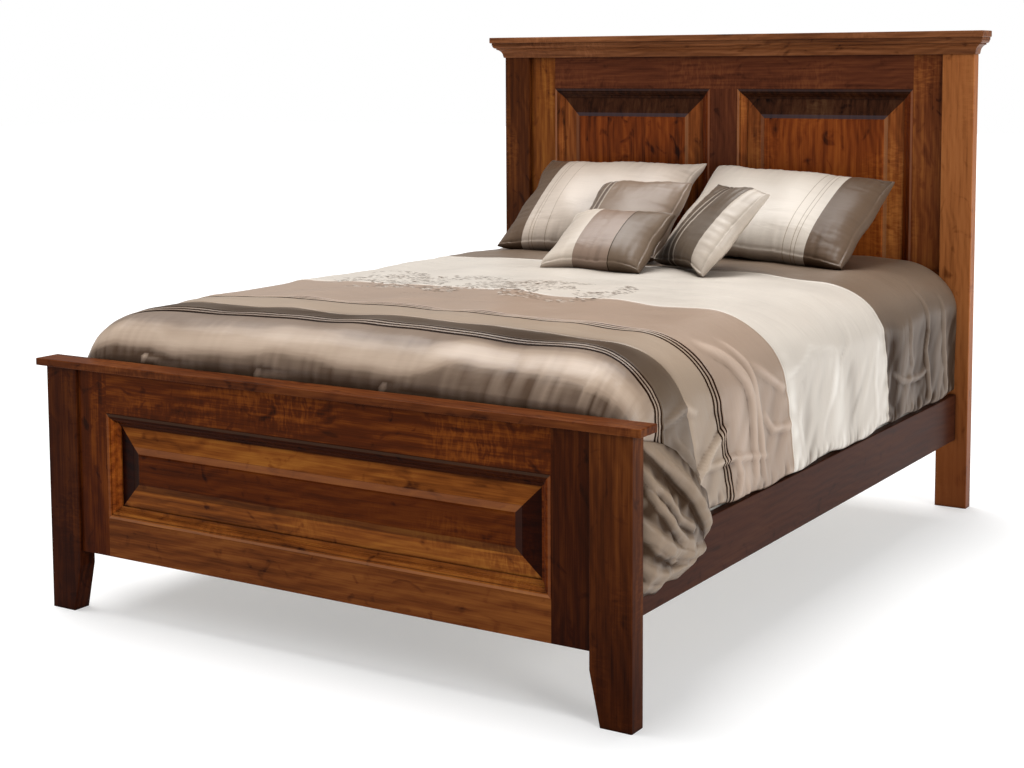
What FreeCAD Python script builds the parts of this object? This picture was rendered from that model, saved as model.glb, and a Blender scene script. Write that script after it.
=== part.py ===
import FreeCAD, Part
import math
import os
from FreeCAD import Vector

# A queen-size panel bed in stained brown maple, with its bedding.
# Everything is built in millimetres in the bed's own axes: X across the bed, Y from the
# footboard to the headboard with 0 at the front face of the footboard legs, Z up from the floor.
# The last step moves the origin under the middle of the whole bed.

os.makedirs("parts", exist_ok=True)

# ---------------------------------------------------------------- driving dimensions (mm)
# Bedding that the frame is sized for
mattress_width = 1524.0
mattress_length = 2032.0
mattress_height = 238.0
mattress_edge_radius = 70.0
foundation_height = 203.0
foundation_corner_radius = 60.0
mattress_side_clearance = 2.0      # mattress or foundation to the inside of each rail
mattress_foot_space = 36.0         # leg to the foot of the mattress, where the comforter tucks in
mattress_head_space = 16.0         # head of the mattress to the face of the headboard posts

# Whole frame
rail_set_in = 37.0                 # outside of each rail to the outside of the posts and legs
edge_round = 2.5                   # eased edges of posts, legs, rails and cap
lumber_round = 1.5                 # eased edges of hidden lumber

# Side rails and what they carry
rail_height = 140.0
rail_thickness = 24.0
rail_underside = 209.0             # height of the rail's lower edge
cleat_width = 25.0
cleat_height = 28.0
cleat_top_above_rail = 46.0        # cleat's top face above the rail's lower edge
cleat_end_space = 26.0
slat_count = 5
slat_width = 89.0
slat_thickness = 19.0
slat_end_clearance = 2.0
slat_first_setback = 60.0          # outer slats' edges to the ends of the rails

# Centre legs under the slats
centre_leg_count = 3
centre_leg_section = 45.0
leveller_pad_radius = 14.0
leveller_pad_height = 6.0
leveller_stem_radius = 4.0
leveller_stem_length = 32.0
leveller_fit = 0.05                # radial clearance of the stem in its insert
leveller_travel = 15.0
insert_radius = 6.0
insert_length = 15.0
stem_hole_clearance = 1.0

# Footboard
leg_width = 100.0
leg_depth = 49.0
leg_foot_width = 75.0              # the inner side tapers to this at the floor
leg_taper_height = 117.0
footboard_height = 631.0
cap_thickness = 18.0
cap_end_overhang = 25.0
cap_face_overhang = 12.0
foot_frame_setback = 8.0
foot_frame_thickness = 32.0
foot_stile_width = 94.0
foot_top_rail_height = 103.0
foot_bottom_rail_height = 95.0
foot_frame_underside = 154.0
foot_panel_drop = 19.5             # frame face down to the panel's outer edge

# Headboard
post_width = 97.0
post_depth = 42.0
headboard_height = 1446.0
crown_board_thickness = 19.0
crown_height = 50.0                # moulded band under the crown board
crown_projection = 34.0            # how far the band stands out at its top
crown_end_overhang = 38.0
crown_face_overhang = 44.0
crown_back_overhang = 2.0
head_frame_setback = 17.0
head_frame_thickness = 25.0
head_stile_width = 94.0
head_muntin_width = 96.0
head_top_rail_height = 105.0
head_bottom_rail_height = 120.0
head_frame_underside = 440.0
head_panel_drop = 13.0

# Raised panels and the mitred mouldings that hold them
moulding_width = 31.0
moulding_flat = 10.0
moulding_proud = 1.0
panel_edge = 6.5                   # thickness of the panel's flat edge
panel_edge_width = 40.0            # hidden edge, under the moulding and into the groove
panel_float = 2.0                  # room left for the panel to swell in its groove
groove_fit = 0.2
bevel_width = 43.0
bevel_rise = 7.0
shoulder_width = 23.0
shoulder_rise = 4.4
tenon_length = 30.0
tenon_shoulder = 15.0
dowel_radius = 5.0
dowel_length = 60.0
dowel_end_space = 60.0             # ends of a stile to its first and last dowel
tall_stile = 600.0                 # stiles from this height up take five dowels

# Steel rail fittings
plate_height = 110.0
plate_width = 16.0
plate_thickness = 2.5
hook_thickness = 3.0
hook_neck_height = 22.0
hook_lip_drop = 8.0
hook_reach = 12.0
hook_spacing = 50.0
hook_clearance = 0.4
wood_screw_radius = 2.0
screw_head_radius = 4.0
screw_head_height = 2.2
plate_screw_length = 25.0
plate_screw_spacing = 96.0
cleat_screw_length = 38.0
cleat_screw_count = 6
slat_screw_length = 32.0
slat_screw_inset = 14.0
leg_screw_length = 55.0
leg_screw_spacing = 24.0

# Comforter
comforter_side_thickness = 32.0
comforter_top_thickness = 41.0     # over the mattress, at the shoulders
comforter_crown = 12.0             # rise from the shoulders to the middle
comforter_foot_thickness = 18.0
comforter_fit = 1.0                # clearance round the mattress
comforter_hem_clearance = 0.5      # hem above the side rails
comforter_fold_depth = 5.0
comforter_fold_spacing = 260.0
comforter_head_end = 15.0          # head end of the comforter to the face of the posts
foot_round_x = 120.0               # how round its shoulders are, at the foot and along the sides
foot_round_z = 110.0
side_round_x = 190.0
side_round_z = 150.0
corner_drop_length = 340.0         # how far the gathered foot corners run along the rails
corner_drop_depth = 105.0          # how far they hang below the top of the rails
corner_drop_thickness = 54.0
corner_drop_rise = 240.0           # how far above the rails the gathers start

# Pillows: half width, half height, thickness; drawn_in is how far their sides curve in
sham_half_width = 288.0
sham_half_height = 221.0
wide_half_width = 307.0            # the right sham lies flatter and wider
wide_half_height = 205.0
sham_thickness = 150.0
accent_half_width = 161.0
accent_half_height = 176.0
accent_thickness = 104.0
small_half_width = 164.0
small_half_height = 142.0
small_thickness = 104.0
turned_half_width = 157.0
turned_half_height = 157.0
turned_thickness = 96.0
drawn_in = 13.0
pillow_seam = 6.0
pillow_seat = 0.3
pillow_start_height = 150.0
# where their middles are: across the bed, and how far in front of the shams' row
sham_setback = 220.0               # shams' row to the face of the headboard posts
sham_left_across = 320.0
sham_right_across = 297.0
accent_across = 83.0
accent_ahead = 247.0
small_across = 4.0
small_ahead = 531.0
turned_across = 270.0
turned_ahead = 408.0

# ---------------------------------------------------------------- derived places
rail_inside = mattress_width / 2 + mattress_side_clearance
rail_outside = rail_inside + rail_thickness
half_bed = rail_outside + rail_set_in
bed_width = 2 * half_bed
rail_middle = (rail_inside + rail_outside) / 2
rail_top = rail_underside + rail_height
rail_start = leg_depth
rail_length = mattress_foot_space + mattress_length + mattress_head_space
post_face = rail_start + rail_length
post_back = post_face + post_depth
cleat_top = rail_underside + cleat_top_above_rail
slat_top = cleat_top + slat_thickness
foundation_top = slat_top + foundation_height
mattress_top = foundation_top + mattress_height
mattress_foot = rail_start + mattress_foot_space
mattress_head = mattress_foot + mattress_length
leg_top = footboard_height - cap_thickness
crown_top = headboard_height - crown_board_thickness
post_top = crown_top - crown_height
bed_middle_y = (post_back + crown_back_overhang - cap_face_overhang) / 2


# ---------------------------------------------------------------- helpers
def box(x0, x1, y0, y1, z0, z1):
    """Block between two corners."""
    return Part.makeBox(x1 - x0, y1 - y0, z1 - z0, Vector(x0, y0, z0))


def eased(block, radius, axis=None):
    """Rounds a block's straight edges, or only those along one axis."""
    edges = []
    for edge in block.Edges:
        run = edge.Vertexes[-1].Point - edge.Vertexes[0].Point
        if axis is None or abs(getattr(run, axis)) > 0.9 * run.Length:
            edges.append(edge)
    return block.makeFillet(radius, edges)


def mirrored(shape):
    """The same piece on the other side of the bed."""
    return shape.mirror(Vector(0, 0, 0), Vector(1, 0, 0))


def pair(shape):
    return [shape, mirrored(shape)]


def cut_all(shape, tools):
    """Cuts from a piece only those tools that reach it."""
    near = [t for t in tools if t.BoundBox.intersect(shape.BoundBox)]
    return shape.cut(near) if near else shape


def loop(points):
    return Part.Wire([Part.makeLine(a, b) for a, b in zip(points, points[1:] + points[:1])])


def screw(tip_way, head, length):
    """Countersunk wood screw: a conical head, flush at the point head, and a plain shank."""
    cone = Part.makeCone(screw_head_radius, wood_screw_radius, screw_head_height, head, tip_way)
    shank = Part.makeCylinder(wood_screw_radius, length, head, tip_way)
    return cone.fuse(shank).removeSplitter()


def dowel(way, middle):
    start = middle - way * (dowel_length / 2)
    return Part.makeCylinder(dowel_radius, dowel_length, start, way)


def evenly(first, last, count):
    step = (last - first) / max(count - 1, 1)
    return [first + step * i for i in range(count)]


# ---------------------------------------------------------------- framed raised panels
def moulding_profile(drop):
    """Section of the panel moulding: u runs in from the frame's edge, w down from its face."""
    ovolo_end, cove_start = 0.42 * drop, 0.46 * drop
    cove_end = 0.80 * drop
    u0, u1 = moulding_flat, moulding_width
    u_ovolo = u0 + 0.42 * (u1 - u0)
    u_cove = u_ovolo + 2.0
    lip = u1 - 2.5
    sink = 1.2                                    # shadow line beside the flat
    bulge = Vector(u0 + 0.70 * (u_ovolo - u0), sink + 0.26 * (ovolo_end - sink), 0)
    hollow = Vector(u_cove + 0.28 * (lip - u_cove), cove_start + 0.70 * (cove_end - cove_start), 0)
    return [
        ("line", Vector(0, -moulding_proud, 0), Vector(u0, -moulding_proud, 0)),
        ("line", Vector(u0, -moulding_proud, 0), Vector(u0, sink, 0)),
        ("arc", Vector(u0, sink, 0), bulge, Vector(u_ovolo, ovolo_end, 0)),
        ("line", Vector(u_ovolo, ovolo_end, 0), Vector(u_cove, cove_start, 0)),
        ("arc", Vector(u_cove, cove_start, 0), hollow, Vector(lip, cove_end, 0)),
        ("line", Vector(lip, cove_end, 0), Vector(u1, cove_end, 0)),
        ("line", Vector(u1, cove_end, 0), Vector(u1, drop, 0)),
        ("line", Vector(u1, drop, 0), Vector(0, drop, 0)),
        ("line", Vector(0, drop, 0), Vector(0, -moulding_proud, 0)),
    ]


def profile_face(steps, place):
    """Closed face from line and arc steps, with place() turning section points into space."""
    edges = []
    for kind, *points in steps:
        spots = [place(p) for p in points]
        edges.append(Part.makeLine(*spots) if kind == "line" else Part.Arc(*spots).toShape())
    return Part.Face(Part.Wire(edges))


def mitred_frame(width, height, drop):
    """Four mitred lengths of moulding round an opening centred on the origin, face towards -Y."""
    strips = []
    turns = ((0, width, height), (90, height, width), (180, width, height), (270, height, width))
    for turn, length, other in turns:
        half, away = length / 2, -other / 2
        section = profile_face(moulding_profile(drop), lambda p: Vector(-half, p.y, away + p.x))
        run = section.extrude(Vector(length, 0, 0))
        reach = moulding_width + 1
        corners = [
            Vector(-half, -50, away),
            Vector(half, -50, away),
            Vector(half - reach, -50, away + reach),
            Vector(-half + reach, -50, away + reach),
        ]
        keep = Part.Face(loop(corners)).extrude(Vector(0, 100, 0))
        strip = run.common(keep)
        strip.rotate(Vector(0, 0, 0), Vector(0, 1, 0), turn)
        strips.append(strip)
    return strips


def rectangle(half_x, half_z, y):
    low = [Vector(-half_x, y, -half_z), Vector(half_x, y, -half_z)]
    high = [Vector(half_x, y, half_z), Vector(-half_x, y, half_z)]
    return loop(low + high)


def raised_panel(width, height, drop):
    """Panel for an opening: flat edge, broad bevel, hollow shoulder and raised field."""
    hx, hz = width / 2, height / 2
    edge_x, edge_z = hx - moulding_width + panel_edge_width, hz - moulding_width + panel_edge_width
    slab = box(-edge_x, edge_x, drop, drop + panel_edge, -edge_z, edge_z)
    sight_x, sight_z = hx - moulding_width, hz - moulding_width
    bevel = Part.makeLoft([
        rectangle(sight_x, sight_z, drop),
        rectangle(sight_x - bevel_width, sight_z - bevel_width, drop - bevel_rise),
    ], True, True)
    # the shoulder is a quarter hollow, stepped in straight facets
    rings = []
    for t in (0.0, 0.3, 0.62, 0.86, 1.0):
        inset = bevel_width + 3.0 + (shoulder_width - 3.0) * t
        lift = bevel_rise + shoulder_rise * (0.12 + 0.88 * (1 - math.sqrt(1 - t * t)))
        rings.append(rectangle(sight_x - inset, sight_z - inset, drop - lift))
    shoulder = Part.makeLoft(rings, True, True)
    base_x, base_z = sight_x - bevel_width - 3.0, sight_z - bevel_width - 3.0
    base = box(-base_x, base_x, drop - bevel_rise - 0.12 * shoulder_rise, drop, -base_z, base_z)
    return slab.fuse([bevel, base, shoulder]).removeSplitter()


def placed(shapes, x, y, z):
    moved = []
    for shape in shapes:
        copy = shape.copy()
        copy.translate(Vector(x, y, z))
        moved.append(copy)
    return moved


class PanelFrame:
    """Stiles, rails, muntins, panels and mouldings of one board, its face at y = face."""

    def __init__(self, face, thickness, half_outer, z0, z1, stile, top, bottom, drop, muntin=0.0):
        self.face, self.drop = face, drop
        back = face + thickness
        inner = half_outer - stile
        open_low, open_high = z0 + bottom, z1 - top
        self.stile = box(inner, half_outer, face, back, z0, z1)
        tenon_y = (face + drop, face + drop + panel_edge)

        def tongue(x0, x1, low, high):
            return box(x0, x1, tenon_y[0], tenon_y[1], low, high)

        def rail(low, high):
            body = box(-inner, inner, face, back, low, high)
            reach = inner + tenon_length
            return body.fuse(tongue(-reach, reach, low + tenon_shoulder, high - tenon_shoulder))

        self.top_rail = rail(open_high, z1)
        self.bottom_rail = rail(z0, open_low)
        bay = inner - muntin / 2 if muntin else 2 * inner
        centres = [-(inner + muntin / 2) / 2, (inner + muntin / 2) / 2] if muntin else [0.0]
        self.muntin = None
        if muntin:
            body = box(-muntin / 2, muntin / 2, face, back, open_low, open_high)
            slim = muntin / 2 - tenon_shoulder
            self.muntin = body.fuse(tongue(-slim, slim, open_low - tenon_length, open_high + tenon_length))
        mid_z, height = (open_low + open_high) / 2, open_high - open_low
        panel, trim = raised_panel(bay, height, drop), mitred_frame(bay, height, drop)
        self.panels = [placed([panel], x, face, mid_z)[0] for x in centres]
        self.mouldings = [placed(trim, x, face, mid_z) for x in centres]
        # grooves, and mortises for the tenons
        cuts = []
        depth = panel_edge_width - moulding_width + panel_float
        g0, g1 = tenon_y[0] - groove_fit, tenon_y[1] + groove_fit
        for x in centres:
            groove_reach = bay / 2 + depth
            cuts.append(box(x - groove_reach, x + groove_reach, g0, g1, open_low - depth, open_high + depth))
        pocket = tenon_length + panel_float
        mortises = []
        for low, high in ((open_high, z1), (z0, open_low)):
            floor, ceiling = low + tenon_shoulder, high - tenon_shoulder
            mortises.append(box(-inner - pocket, inner + pocket, g0, g1, floor, ceiling))
        self.stile = cut_all(self.stile, cuts + mortises)
        if muntin:
            slot = muntin / 2 - tenon_shoulder
            slots = [
                box(-slot, slot, g0, g1, open_high, open_high + pocket),
                box(-slot, slot, g0, g1, open_low - pocket, open_low),
            ]
            reach = bay / 2 + depth
            side_grooves = [box(x - reach, x + reach, g0, g1, open_low, open_high) for x in centres]
            self.muntin = cut_all(self.muntin, side_grooves)
        else:
            slots = []
        self.top_rail = cut_all(self.top_rail, cuts + slots)
        self.bottom_rail = cut_all(self.bottom_rail, cuts + slots)
        # dowels that join each stile to its post or leg
        dowel_count = 3 if z1 - z0 < tall_stile else 5
        spots = evenly(z0 + dowel_end_space, z1 - dowel_end_space, dowel_count)
        mid_y = (face + back) / 2
        places = [Vector(side * half_outer, mid_y, z) for z in spots for side in (-1, 1)]
        self.dowels = [dowel(Vector(1, 0, 0), place) for place in places]
        self.stile = cut_all(self.stile, self.dowels)


# ---------------------------------------------------------------- footboard
def footboard_leg():
    """Leg with a straight outer side and an inner side that tapers in to the floor."""
    outer, inner = half_bed, half_bed - leg_width
    toe = half_bed - leg_foot_width
    outer_side = [Vector(outer, 0, 0), Vector(outer, 0, leg_top)]
    inner_side = [Vector(inner, 0, leg_top), Vector(inner, 0, leg_taper_height), Vector(toe, 0, 0)]
    outline = outer_side + inner_side
    leg = Part.Face(loop(outline)).extrude(Vector(0, leg_depth, 0))
    return eased(leg, edge_round, "z")


foot = PanelFrame(
    foot_frame_setback, foot_frame_thickness, half_bed - leg_width, foot_frame_underside, leg_top,
    foot_stile_width, foot_top_rail_height, foot_bottom_rail_height, foot_panel_drop)
cap = eased(box(-half_bed - cap_end_overhang, half_bed + cap_end_overhang, -cap_face_overhang,
                leg_depth + cap_face_overhang, leg_top, footboard_height), edge_round)

# ---------------------------------------------------------------- headboard
post = eased(box(half_bed - post_width, half_bed, post_face, post_back, 0, post_top), edge_round, "z")
head = PanelFrame(
    post_face + head_frame_setback, head_frame_thickness, half_bed - post_width,
    head_frame_underside, post_top, head_stile_width, head_top_rail_height, head_bottom_rail_height,
    head_panel_drop, head_muntin_width)
crown_core = box(-half_bed, half_bed, post_face, post_back, post_top, crown_top)
crown_reach = half_bed + crown_end_overhang
crown_front, crown_back = post_face - crown_face_overhang, post_back + crown_back_overhang
crown_board = box(-crown_reach, crown_reach, crown_front, crown_back, crown_top, headboard_height)
crown_board = eased(crown_board, edge_round)


def crown_profile():
    """Section of the crown band: u is how far it stands out, w its height above its foot."""
    h, p = crown_height, crown_projection
    return [
        ("line", Vector(0, 0, 0), Vector(0.10 * p, 0, 0)),
        ("line", Vector(0.10 * p, 0, 0), Vector(0.16 * p, 0.14 * h, 0)),
        ("arc", Vector(0.16 * p, 0.14 * h, 0), Vector(0.30 * p, 0.40 * h, 0), Vector(0.66 * p, 0.56 * h, 0)),
        ("line", Vector(0.66 * p, 0.56 * h, 0), Vector(0.66 * p, 0.64 * h, 0)),
        ("line", Vector(0.66 * p, 0.64 * h, 0), Vector(0.74 * p, 0.64 * h, 0)),
        ("arc", Vector(0.74 * p, 0.64 * h, 0), Vector(0.90 * p, 0.71 * h, 0), Vector(0.95 * p, 0.84 * h, 0)),
        ("line", Vector(0.95 * p, 0.84 * h, 0), Vector(p, 0.84 * h, 0)),
        ("line", Vector(p, 0.84 * h, 0), Vector(p, h, 0)),
        ("line", Vector(p, h, 0), Vector(0, h, 0)),
        ("line", Vector(0, h, 0), Vector(0, 0, 0)),
    ]


def crown_strips():
    """Crown band: a front length mitred to a return on each end of the headboard."""
    p = crown_projection
    front = profile_face(crown_profile(), lambda q: Vector(-half_bed - p, post_face - q.x, post_top + q.y))
    front = front.extrude(Vector(bed_width + 2 * p, 0, 0))
    side = profile_face(crown_profile(), lambda q: Vector(half_bed + q.x, post_face - p, post_top + q.y))
    side = side.extrude(Vector(0, post_depth + p, 0))
    reach = p + 1
    low = post_top - 1
    wedge = Part.Face(loop([
        Vector(half_bed, post_face, low),
        Vector(half_bed + reach, post_face - reach, low),
        Vector(half_bed + reach, post_face + post_depth + reach, low),
        Vector(half_bed, post_face + post_depth + reach, low),
    ])).extrude(Vector(0, 0, crown_height + 2))
    return [front.cut([wedge, mirrored(wedge)])] + pair(side.common(wedge))


# ---------------------------------------------------------------- side rails, cleats and slats
rail = eased(box(rail_inside, rail_outside, rail_start, post_face, rail_underside, rail_top), edge_round, "y")
cleat_start, cleat_end = rail_start + cleat_end_space, post_face - cleat_end_space
cleat = eased(box(rail_inside - cleat_width, rail_inside, cleat_start, cleat_end,
                  cleat_top - cleat_height, cleat_top), lumber_round, "y")
slat_reach = rail_inside - slat_end_clearance
slat_first = rail_start + slat_first_setback + slat_width / 2
slat_last = post_face - slat_first_setback - slat_width / 2
slat_middles = evenly(slat_first, slat_last, slat_count)
half_slat = slat_width / 2
slats = [box(-slat_reach, slat_reach, y - half_slat, y + half_slat, cleat_top, slat_top) for y in slat_middles]
slats = [eased(slat, lumber_round, "x") for slat in slats]

cleat_screws = []
for y in evenly(rail_start + 120, post_face - 120, cleat_screw_count):
    head_point = Vector(rail_inside - cleat_width, y, cleat_top - cleat_height / 2)
    cleat_screws += pair(screw(Vector(1, 0, 0), head_point, cleat_screw_length))
slat_screws = []
for y in slat_middles:
    head_at = Vector(slat_reach - slat_screw_inset, y, slat_top)
    slat_screws += pair(screw(Vector(0, 0, -1), head_at, slat_screw_length))

# ---------------------------------------------------------------- centre legs and levellers
skip = (slat_count - centre_leg_count) // 2
leg_middles = slat_middles[skip:skip + centre_leg_count]
centre_leg_foot = leveller_pad_height
centre_legs, inserts, levellers, leg_screws = [], [], [], []
for y in leg_middles:
    half = centre_leg_section / 2
    block = eased(box(-half, half, y - half, y + half, centre_leg_foot, cleat_top), lumber_round, "z")
    centre = Vector(0, y, centre_leg_foot)
    up = Vector(0, 0, 1)
    insert = Part.makeCylinder(insert_radius, insert_length, centre, up)
    bore = Part.makeCylinder(leveller_stem_radius + leveller_fit, insert_length, centre, up)
    deep = leveller_stem_length + 3 * stem_hole_clearance
    hole = Part.makeCylinder(leveller_stem_radius + stem_hole_clearance, deep, centre, up)
    pad = Part.makeCylinder(leveller_pad_radius, leveller_pad_height, Vector(0, y, 0), up)
    pad = pad.makeChamfer(1.2, [e for e in pad.Edges if e.Curve.TypeId == "Part::GeomCircle"])
    stem = Part.makeCylinder(leveller_stem_radius, leveller_stem_length, centre, up)
    heads = [Vector(0, y + s * leg_screw_spacing / 2, slat_top) for s in (-1, 1)]
    pins = [screw(Vector(0, 0, -1), head_at, leg_screw_length) for head_at in heads]
    centre_legs.append(block.cut([insert, hole] + pins))
    inserts.append(insert.cut(bore))
    levellers.append(pad.fuse(stem).removeSplitter())
    leg_screws += pins
slats = [cut_all(s, slat_screws + leg_screws) for s in slats]
cleat = cut_all(cleat, cleat_screws + slat_screws)
rail = cut_all(rail, cleat_screws)

# ---------------------------------------------------------------- hook-and-slot rail fittings
rail_mid_z = rail_underside + rail_height / 2


def hook_plate():
    """Plate let into the rail's end, with two hooks that drop behind the slotted plate."""
    w, t = plate_width / 2, hook_thickness / 2
    low, high = rail_mid_z - plate_height / 2, rail_mid_z + plate_height / 2
    plate = box(rail_middle - w, rail_middle + w, rail_start, rail_start + plate_thickness, low, high)
    catch = rail_start - plate_thickness - hook_clearance
    hooks = []
    for side in (-1, 1):
        z = rail_mid_z + side * hook_spacing / 2
        low, high = z - hook_neck_height / 2, z + hook_neck_height / 2
        outline = [
            Vector(rail_middle - t, rail_start, low),
            Vector(rail_middle - t, catch, low),
            Vector(rail_middle - t, catch, low - hook_lip_drop),
            Vector(rail_middle - t, rail_start - hook_reach, low - hook_lip_drop + 3),
            Vector(rail_middle - t, rail_start - hook_reach, high),
            Vector(rail_middle - t, rail_start, high),
        ]
        hooks.append(Part.Face(loop(outline)).extrude(Vector(hook_thickness, 0, 0)))
    return plate.fuse(hooks).removeSplitter()


def slot_plate():
    """Plate let into the leg or post, with a slot for each hook."""
    w, gap = plate_width / 2, hook_thickness / 2 + hook_clearance
    low, high = rail_mid_z - plate_height / 2, rail_mid_z + plate_height / 2
    plate = box(rail_middle - w, rail_middle + w, rail_start - plate_thickness, rail_start, low, high)
    slots = []
    for side in (-1, 1):
        z = rail_mid_z + side * hook_spacing / 2
        slot_top = z + hook_neck_height / 2 + hook_lip_drop + hook_clearance
        slots.append(box(rail_middle - gap, rail_middle + gap, rail_start - plate_thickness - 1, rail_start + 1,
                         z - hook_neck_height / 2, slot_top))
    return plate.cut(slots)


def hook_pocket():
    """Space behind the slotted plate where the hooks drop."""
    room = hook_thickness / 2 + 2 * hook_clearance + 1
    reach = hook_spacing / 2 + hook_neck_height / 2 + hook_lip_drop + 1
    return box(rail_middle - room, rail_middle + room, rail_start - hook_reach - 2, rail_start,
               rail_mid_z - reach, rail_mid_z + reach)


def to_head_end(shape):
    """Copies a fitting at the foot end of a rail to its head end."""
    return shape.mirror(Vector(0, (rail_start + post_face) / 2, 0), Vector(0, 1, 0))


def plate_screws(way, y):
    heads = [Vector(rail_middle, y, rail_mid_z + s * plate_screw_spacing / 2) for s in (-1, 1)]
    return [screw(way, head_at, plate_screw_length) for head_at in heads]


def all_corners(shapes):
    right = shapes + [to_head_end(s) for s in shapes]
    return right + [mirrored(s) for s in right]


rail_screws_one = plate_screws(Vector(0, 1, 0), rail_start)
post_screws_one = plate_screws(Vector(0, -1, 0), rail_start)
fitting_screws = all_corners(rail_screws_one + post_screws_one)
hook_blank, slot_blank, pocket = hook_plate(), slot_plate(), hook_pocket()
rail_plates = all_corners([cut_all(hook_blank, rail_screws_one)])
post_plates = all_corners([cut_all(slot_blank, post_screws_one)])
plate_bed = box(rail_middle - plate_width / 2, rail_middle + plate_width / 2,
                rail_start - plate_thickness, rail_start + plate_thickness,
                rail_mid_z - plate_height / 2, rail_mid_z + plate_height / 2)
recesses = all_corners([plate_bed, pocket]) + fitting_screws
rail = cut_all(rail, recesses)
leg = cut_all(footboard_leg(), recesses + foot.dowels)
post = cut_all(post, recesses + head.dowels)

# ---------------------------------------------------------------- foundation and mattress
foundation = box(-mattress_width / 2, mattress_width / 2, mattress_foot, mattress_head,
                 slat_top, foundation_top)
foundation = eased(foundation, foundation_corner_radius, "z")
foundation = foundation.makeFillet(8.0, [e for e in foundation.Edges if e.BoundBox.ZLength < 0.01])


def padded_block(x, y0, y1, z0, z1, upright, rim):
    """Block with rounded upright corners and a rounded top rim."""
    block = eased(box(-x, x, y0, y1, z0, z1), upright, "z")
    top = [e for e in block.Edges if e.BoundBox.ZMin > z1 - 0.01]
    return block.makeFillet(rim, top)


mattress = padded_block(mattress_width / 2, mattress_foot, mattress_head, foundation_top, mattress_top,
                        mattress_edge_radius + 1, mattress_edge_radius)
bottom_rim = [e for e in mattress.Edges if e.BoundBox.ZMax < foundation_top + 0.01]
mattress = mattress.makeFillet(mattress_edge_radius / 3, bottom_rim)

# ---------------------------------------------------------------- comforter
hem_z = rail_top + comforter_hem_clearance
shoulder_z = mattress_top + comforter_top_thickness
comforter_side = mattress_width / 2 + comforter_fit + comforter_side_thickness
comforter_foot = mattress_foot - comforter_fit - comforter_foot_thickness
comforter_head = post_face - comforter_head_end


def comforter_section(y, side, top, round_x, round_z):
    """Closed section of the comforter's outside at one place along the bed."""
    rise = comforter_crown
    turn = math.sqrt(0.5)
    x_in, z_in = side - round_x, top - round_z
    bend_x, bend_z = x_in + round_x * turn, z_in + round_z * turn
    spot = lambda x, z: Vector(x, y, z)
    return Part.Wire([
        Part.makeLine(spot(side, hem_z), spot(side, z_in)),
        Part.Arc(spot(side, z_in), spot(bend_x, bend_z), spot(x_in, top)).toShape(),
        Part.Arc(spot(x_in, top), spot(0, top + rise), spot(-x_in, top)).toShape(),
        Part.Arc(spot(-x_in, top), spot(-bend_x, bend_z), spot(-side, z_in)).toShape(),
        Part.makeLine(spot(-side, z_in), spot(-side, hem_z)),
        Part.makeLine(spot(-side, hem_z), spot(side, hem_z)),
    ])


def comforter_body():
    """Outer form: a rolled foot end, then gentle upright folds along both sides."""
    # distance from the foot end, how far the side is drawn in, how far the top is below its height
    foot_roll = [(0, 20, 118), (12, 12, 84), (36, 6, 52), (80, 3, 25), (150, 1, 9)]
    sections = []
    for reach, draw, drop in foot_roll:
        sections.append(comforter_section(comforter_foot + reach, comforter_side - draw, shoulder_z - drop,
                                          foot_round_x, foot_round_z))
    first = comforter_foot + foot_roll[-1][0] + 110
    count = 2 * max(2, round((comforter_head - first) / comforter_fold_spacing)) + 1
    for i, y in enumerate(evenly(first, comforter_head, count)):
        wave = comforter_fold_depth * (0.5 if i % 2 else -0.5)
        sections.append(comforter_section(y, comforter_side + wave, shoulder_z, side_round_x, side_round_z))
    return Part.makeLoft(sections, True, False)


def corner_drop():
    """Gathered foot corner that hangs outside the rail, in three swelling folds."""
    inside = rail_outside + comforter_hem_clearance
    # place along the rail, how far it swells out, how far it hangs, how high it starts
    rows = [
        (0.00, 0.45, 0.72, 1.00),
        (0.10, 0.84, 0.95, 0.97),
        (0.26, 0.98, 1.00, 0.92),
        (0.40, 0.80, 0.93, 0.86),
        (0.56, 0.96, 0.98, 0.76),
        (0.74, 0.78, 0.86, 0.60),
        (0.90, 0.42, 0.42, 0.40),
        (1.00, 0.25, 0.03, 0.28),
    ]
    sections = []
    for along, swell, hang, start in rows:
        y = comforter_foot + corner_drop_length * along
        low = hem_z - corner_drop_depth * hang
        high = rail_top + corner_drop_rise * start
        out = inside + corner_drop_thickness * swell
        belly = low + 0.45 * (high - low)
        sections.append(Part.Wire([
            Part.makeLine(Vector(inside, y, high), Vector(inside, y, low)),
            Part.makeLine(Vector(inside, y, low), Vector(inside + 8, y, low)),
            Part.Arc(Vector(inside + 8, y, low), Vector(out, y, belly),
                     Vector(inside + 4, y, high)).toShape(),
            Part.makeLine(Vector(inside + 4, y, high), Vector(inside, y, high)),
        ]))
    return Part.makeLoft(sections, True, False)


def comforter():
    reach = mattress_width / 2 + comforter_fit
    start = mattress_foot - comforter_fit
    past_head = comforter_head + 200
    over_mattress = padded_block(reach, start, past_head, 0, mattress_top + comforter_fit,
                                 mattress_edge_radius, mattress_edge_radius)
    over_foundation = box(-reach, reach, start, past_head, 0, foundation_top + comforter_fit)
    over_foundation = eased(over_foundation, foundation_corner_radius, "z")
    body = comforter_body().fuse(pair(corner_drop()))
    return body.cut([over_mattress, over_foundation]).removeSplitter()


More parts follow.
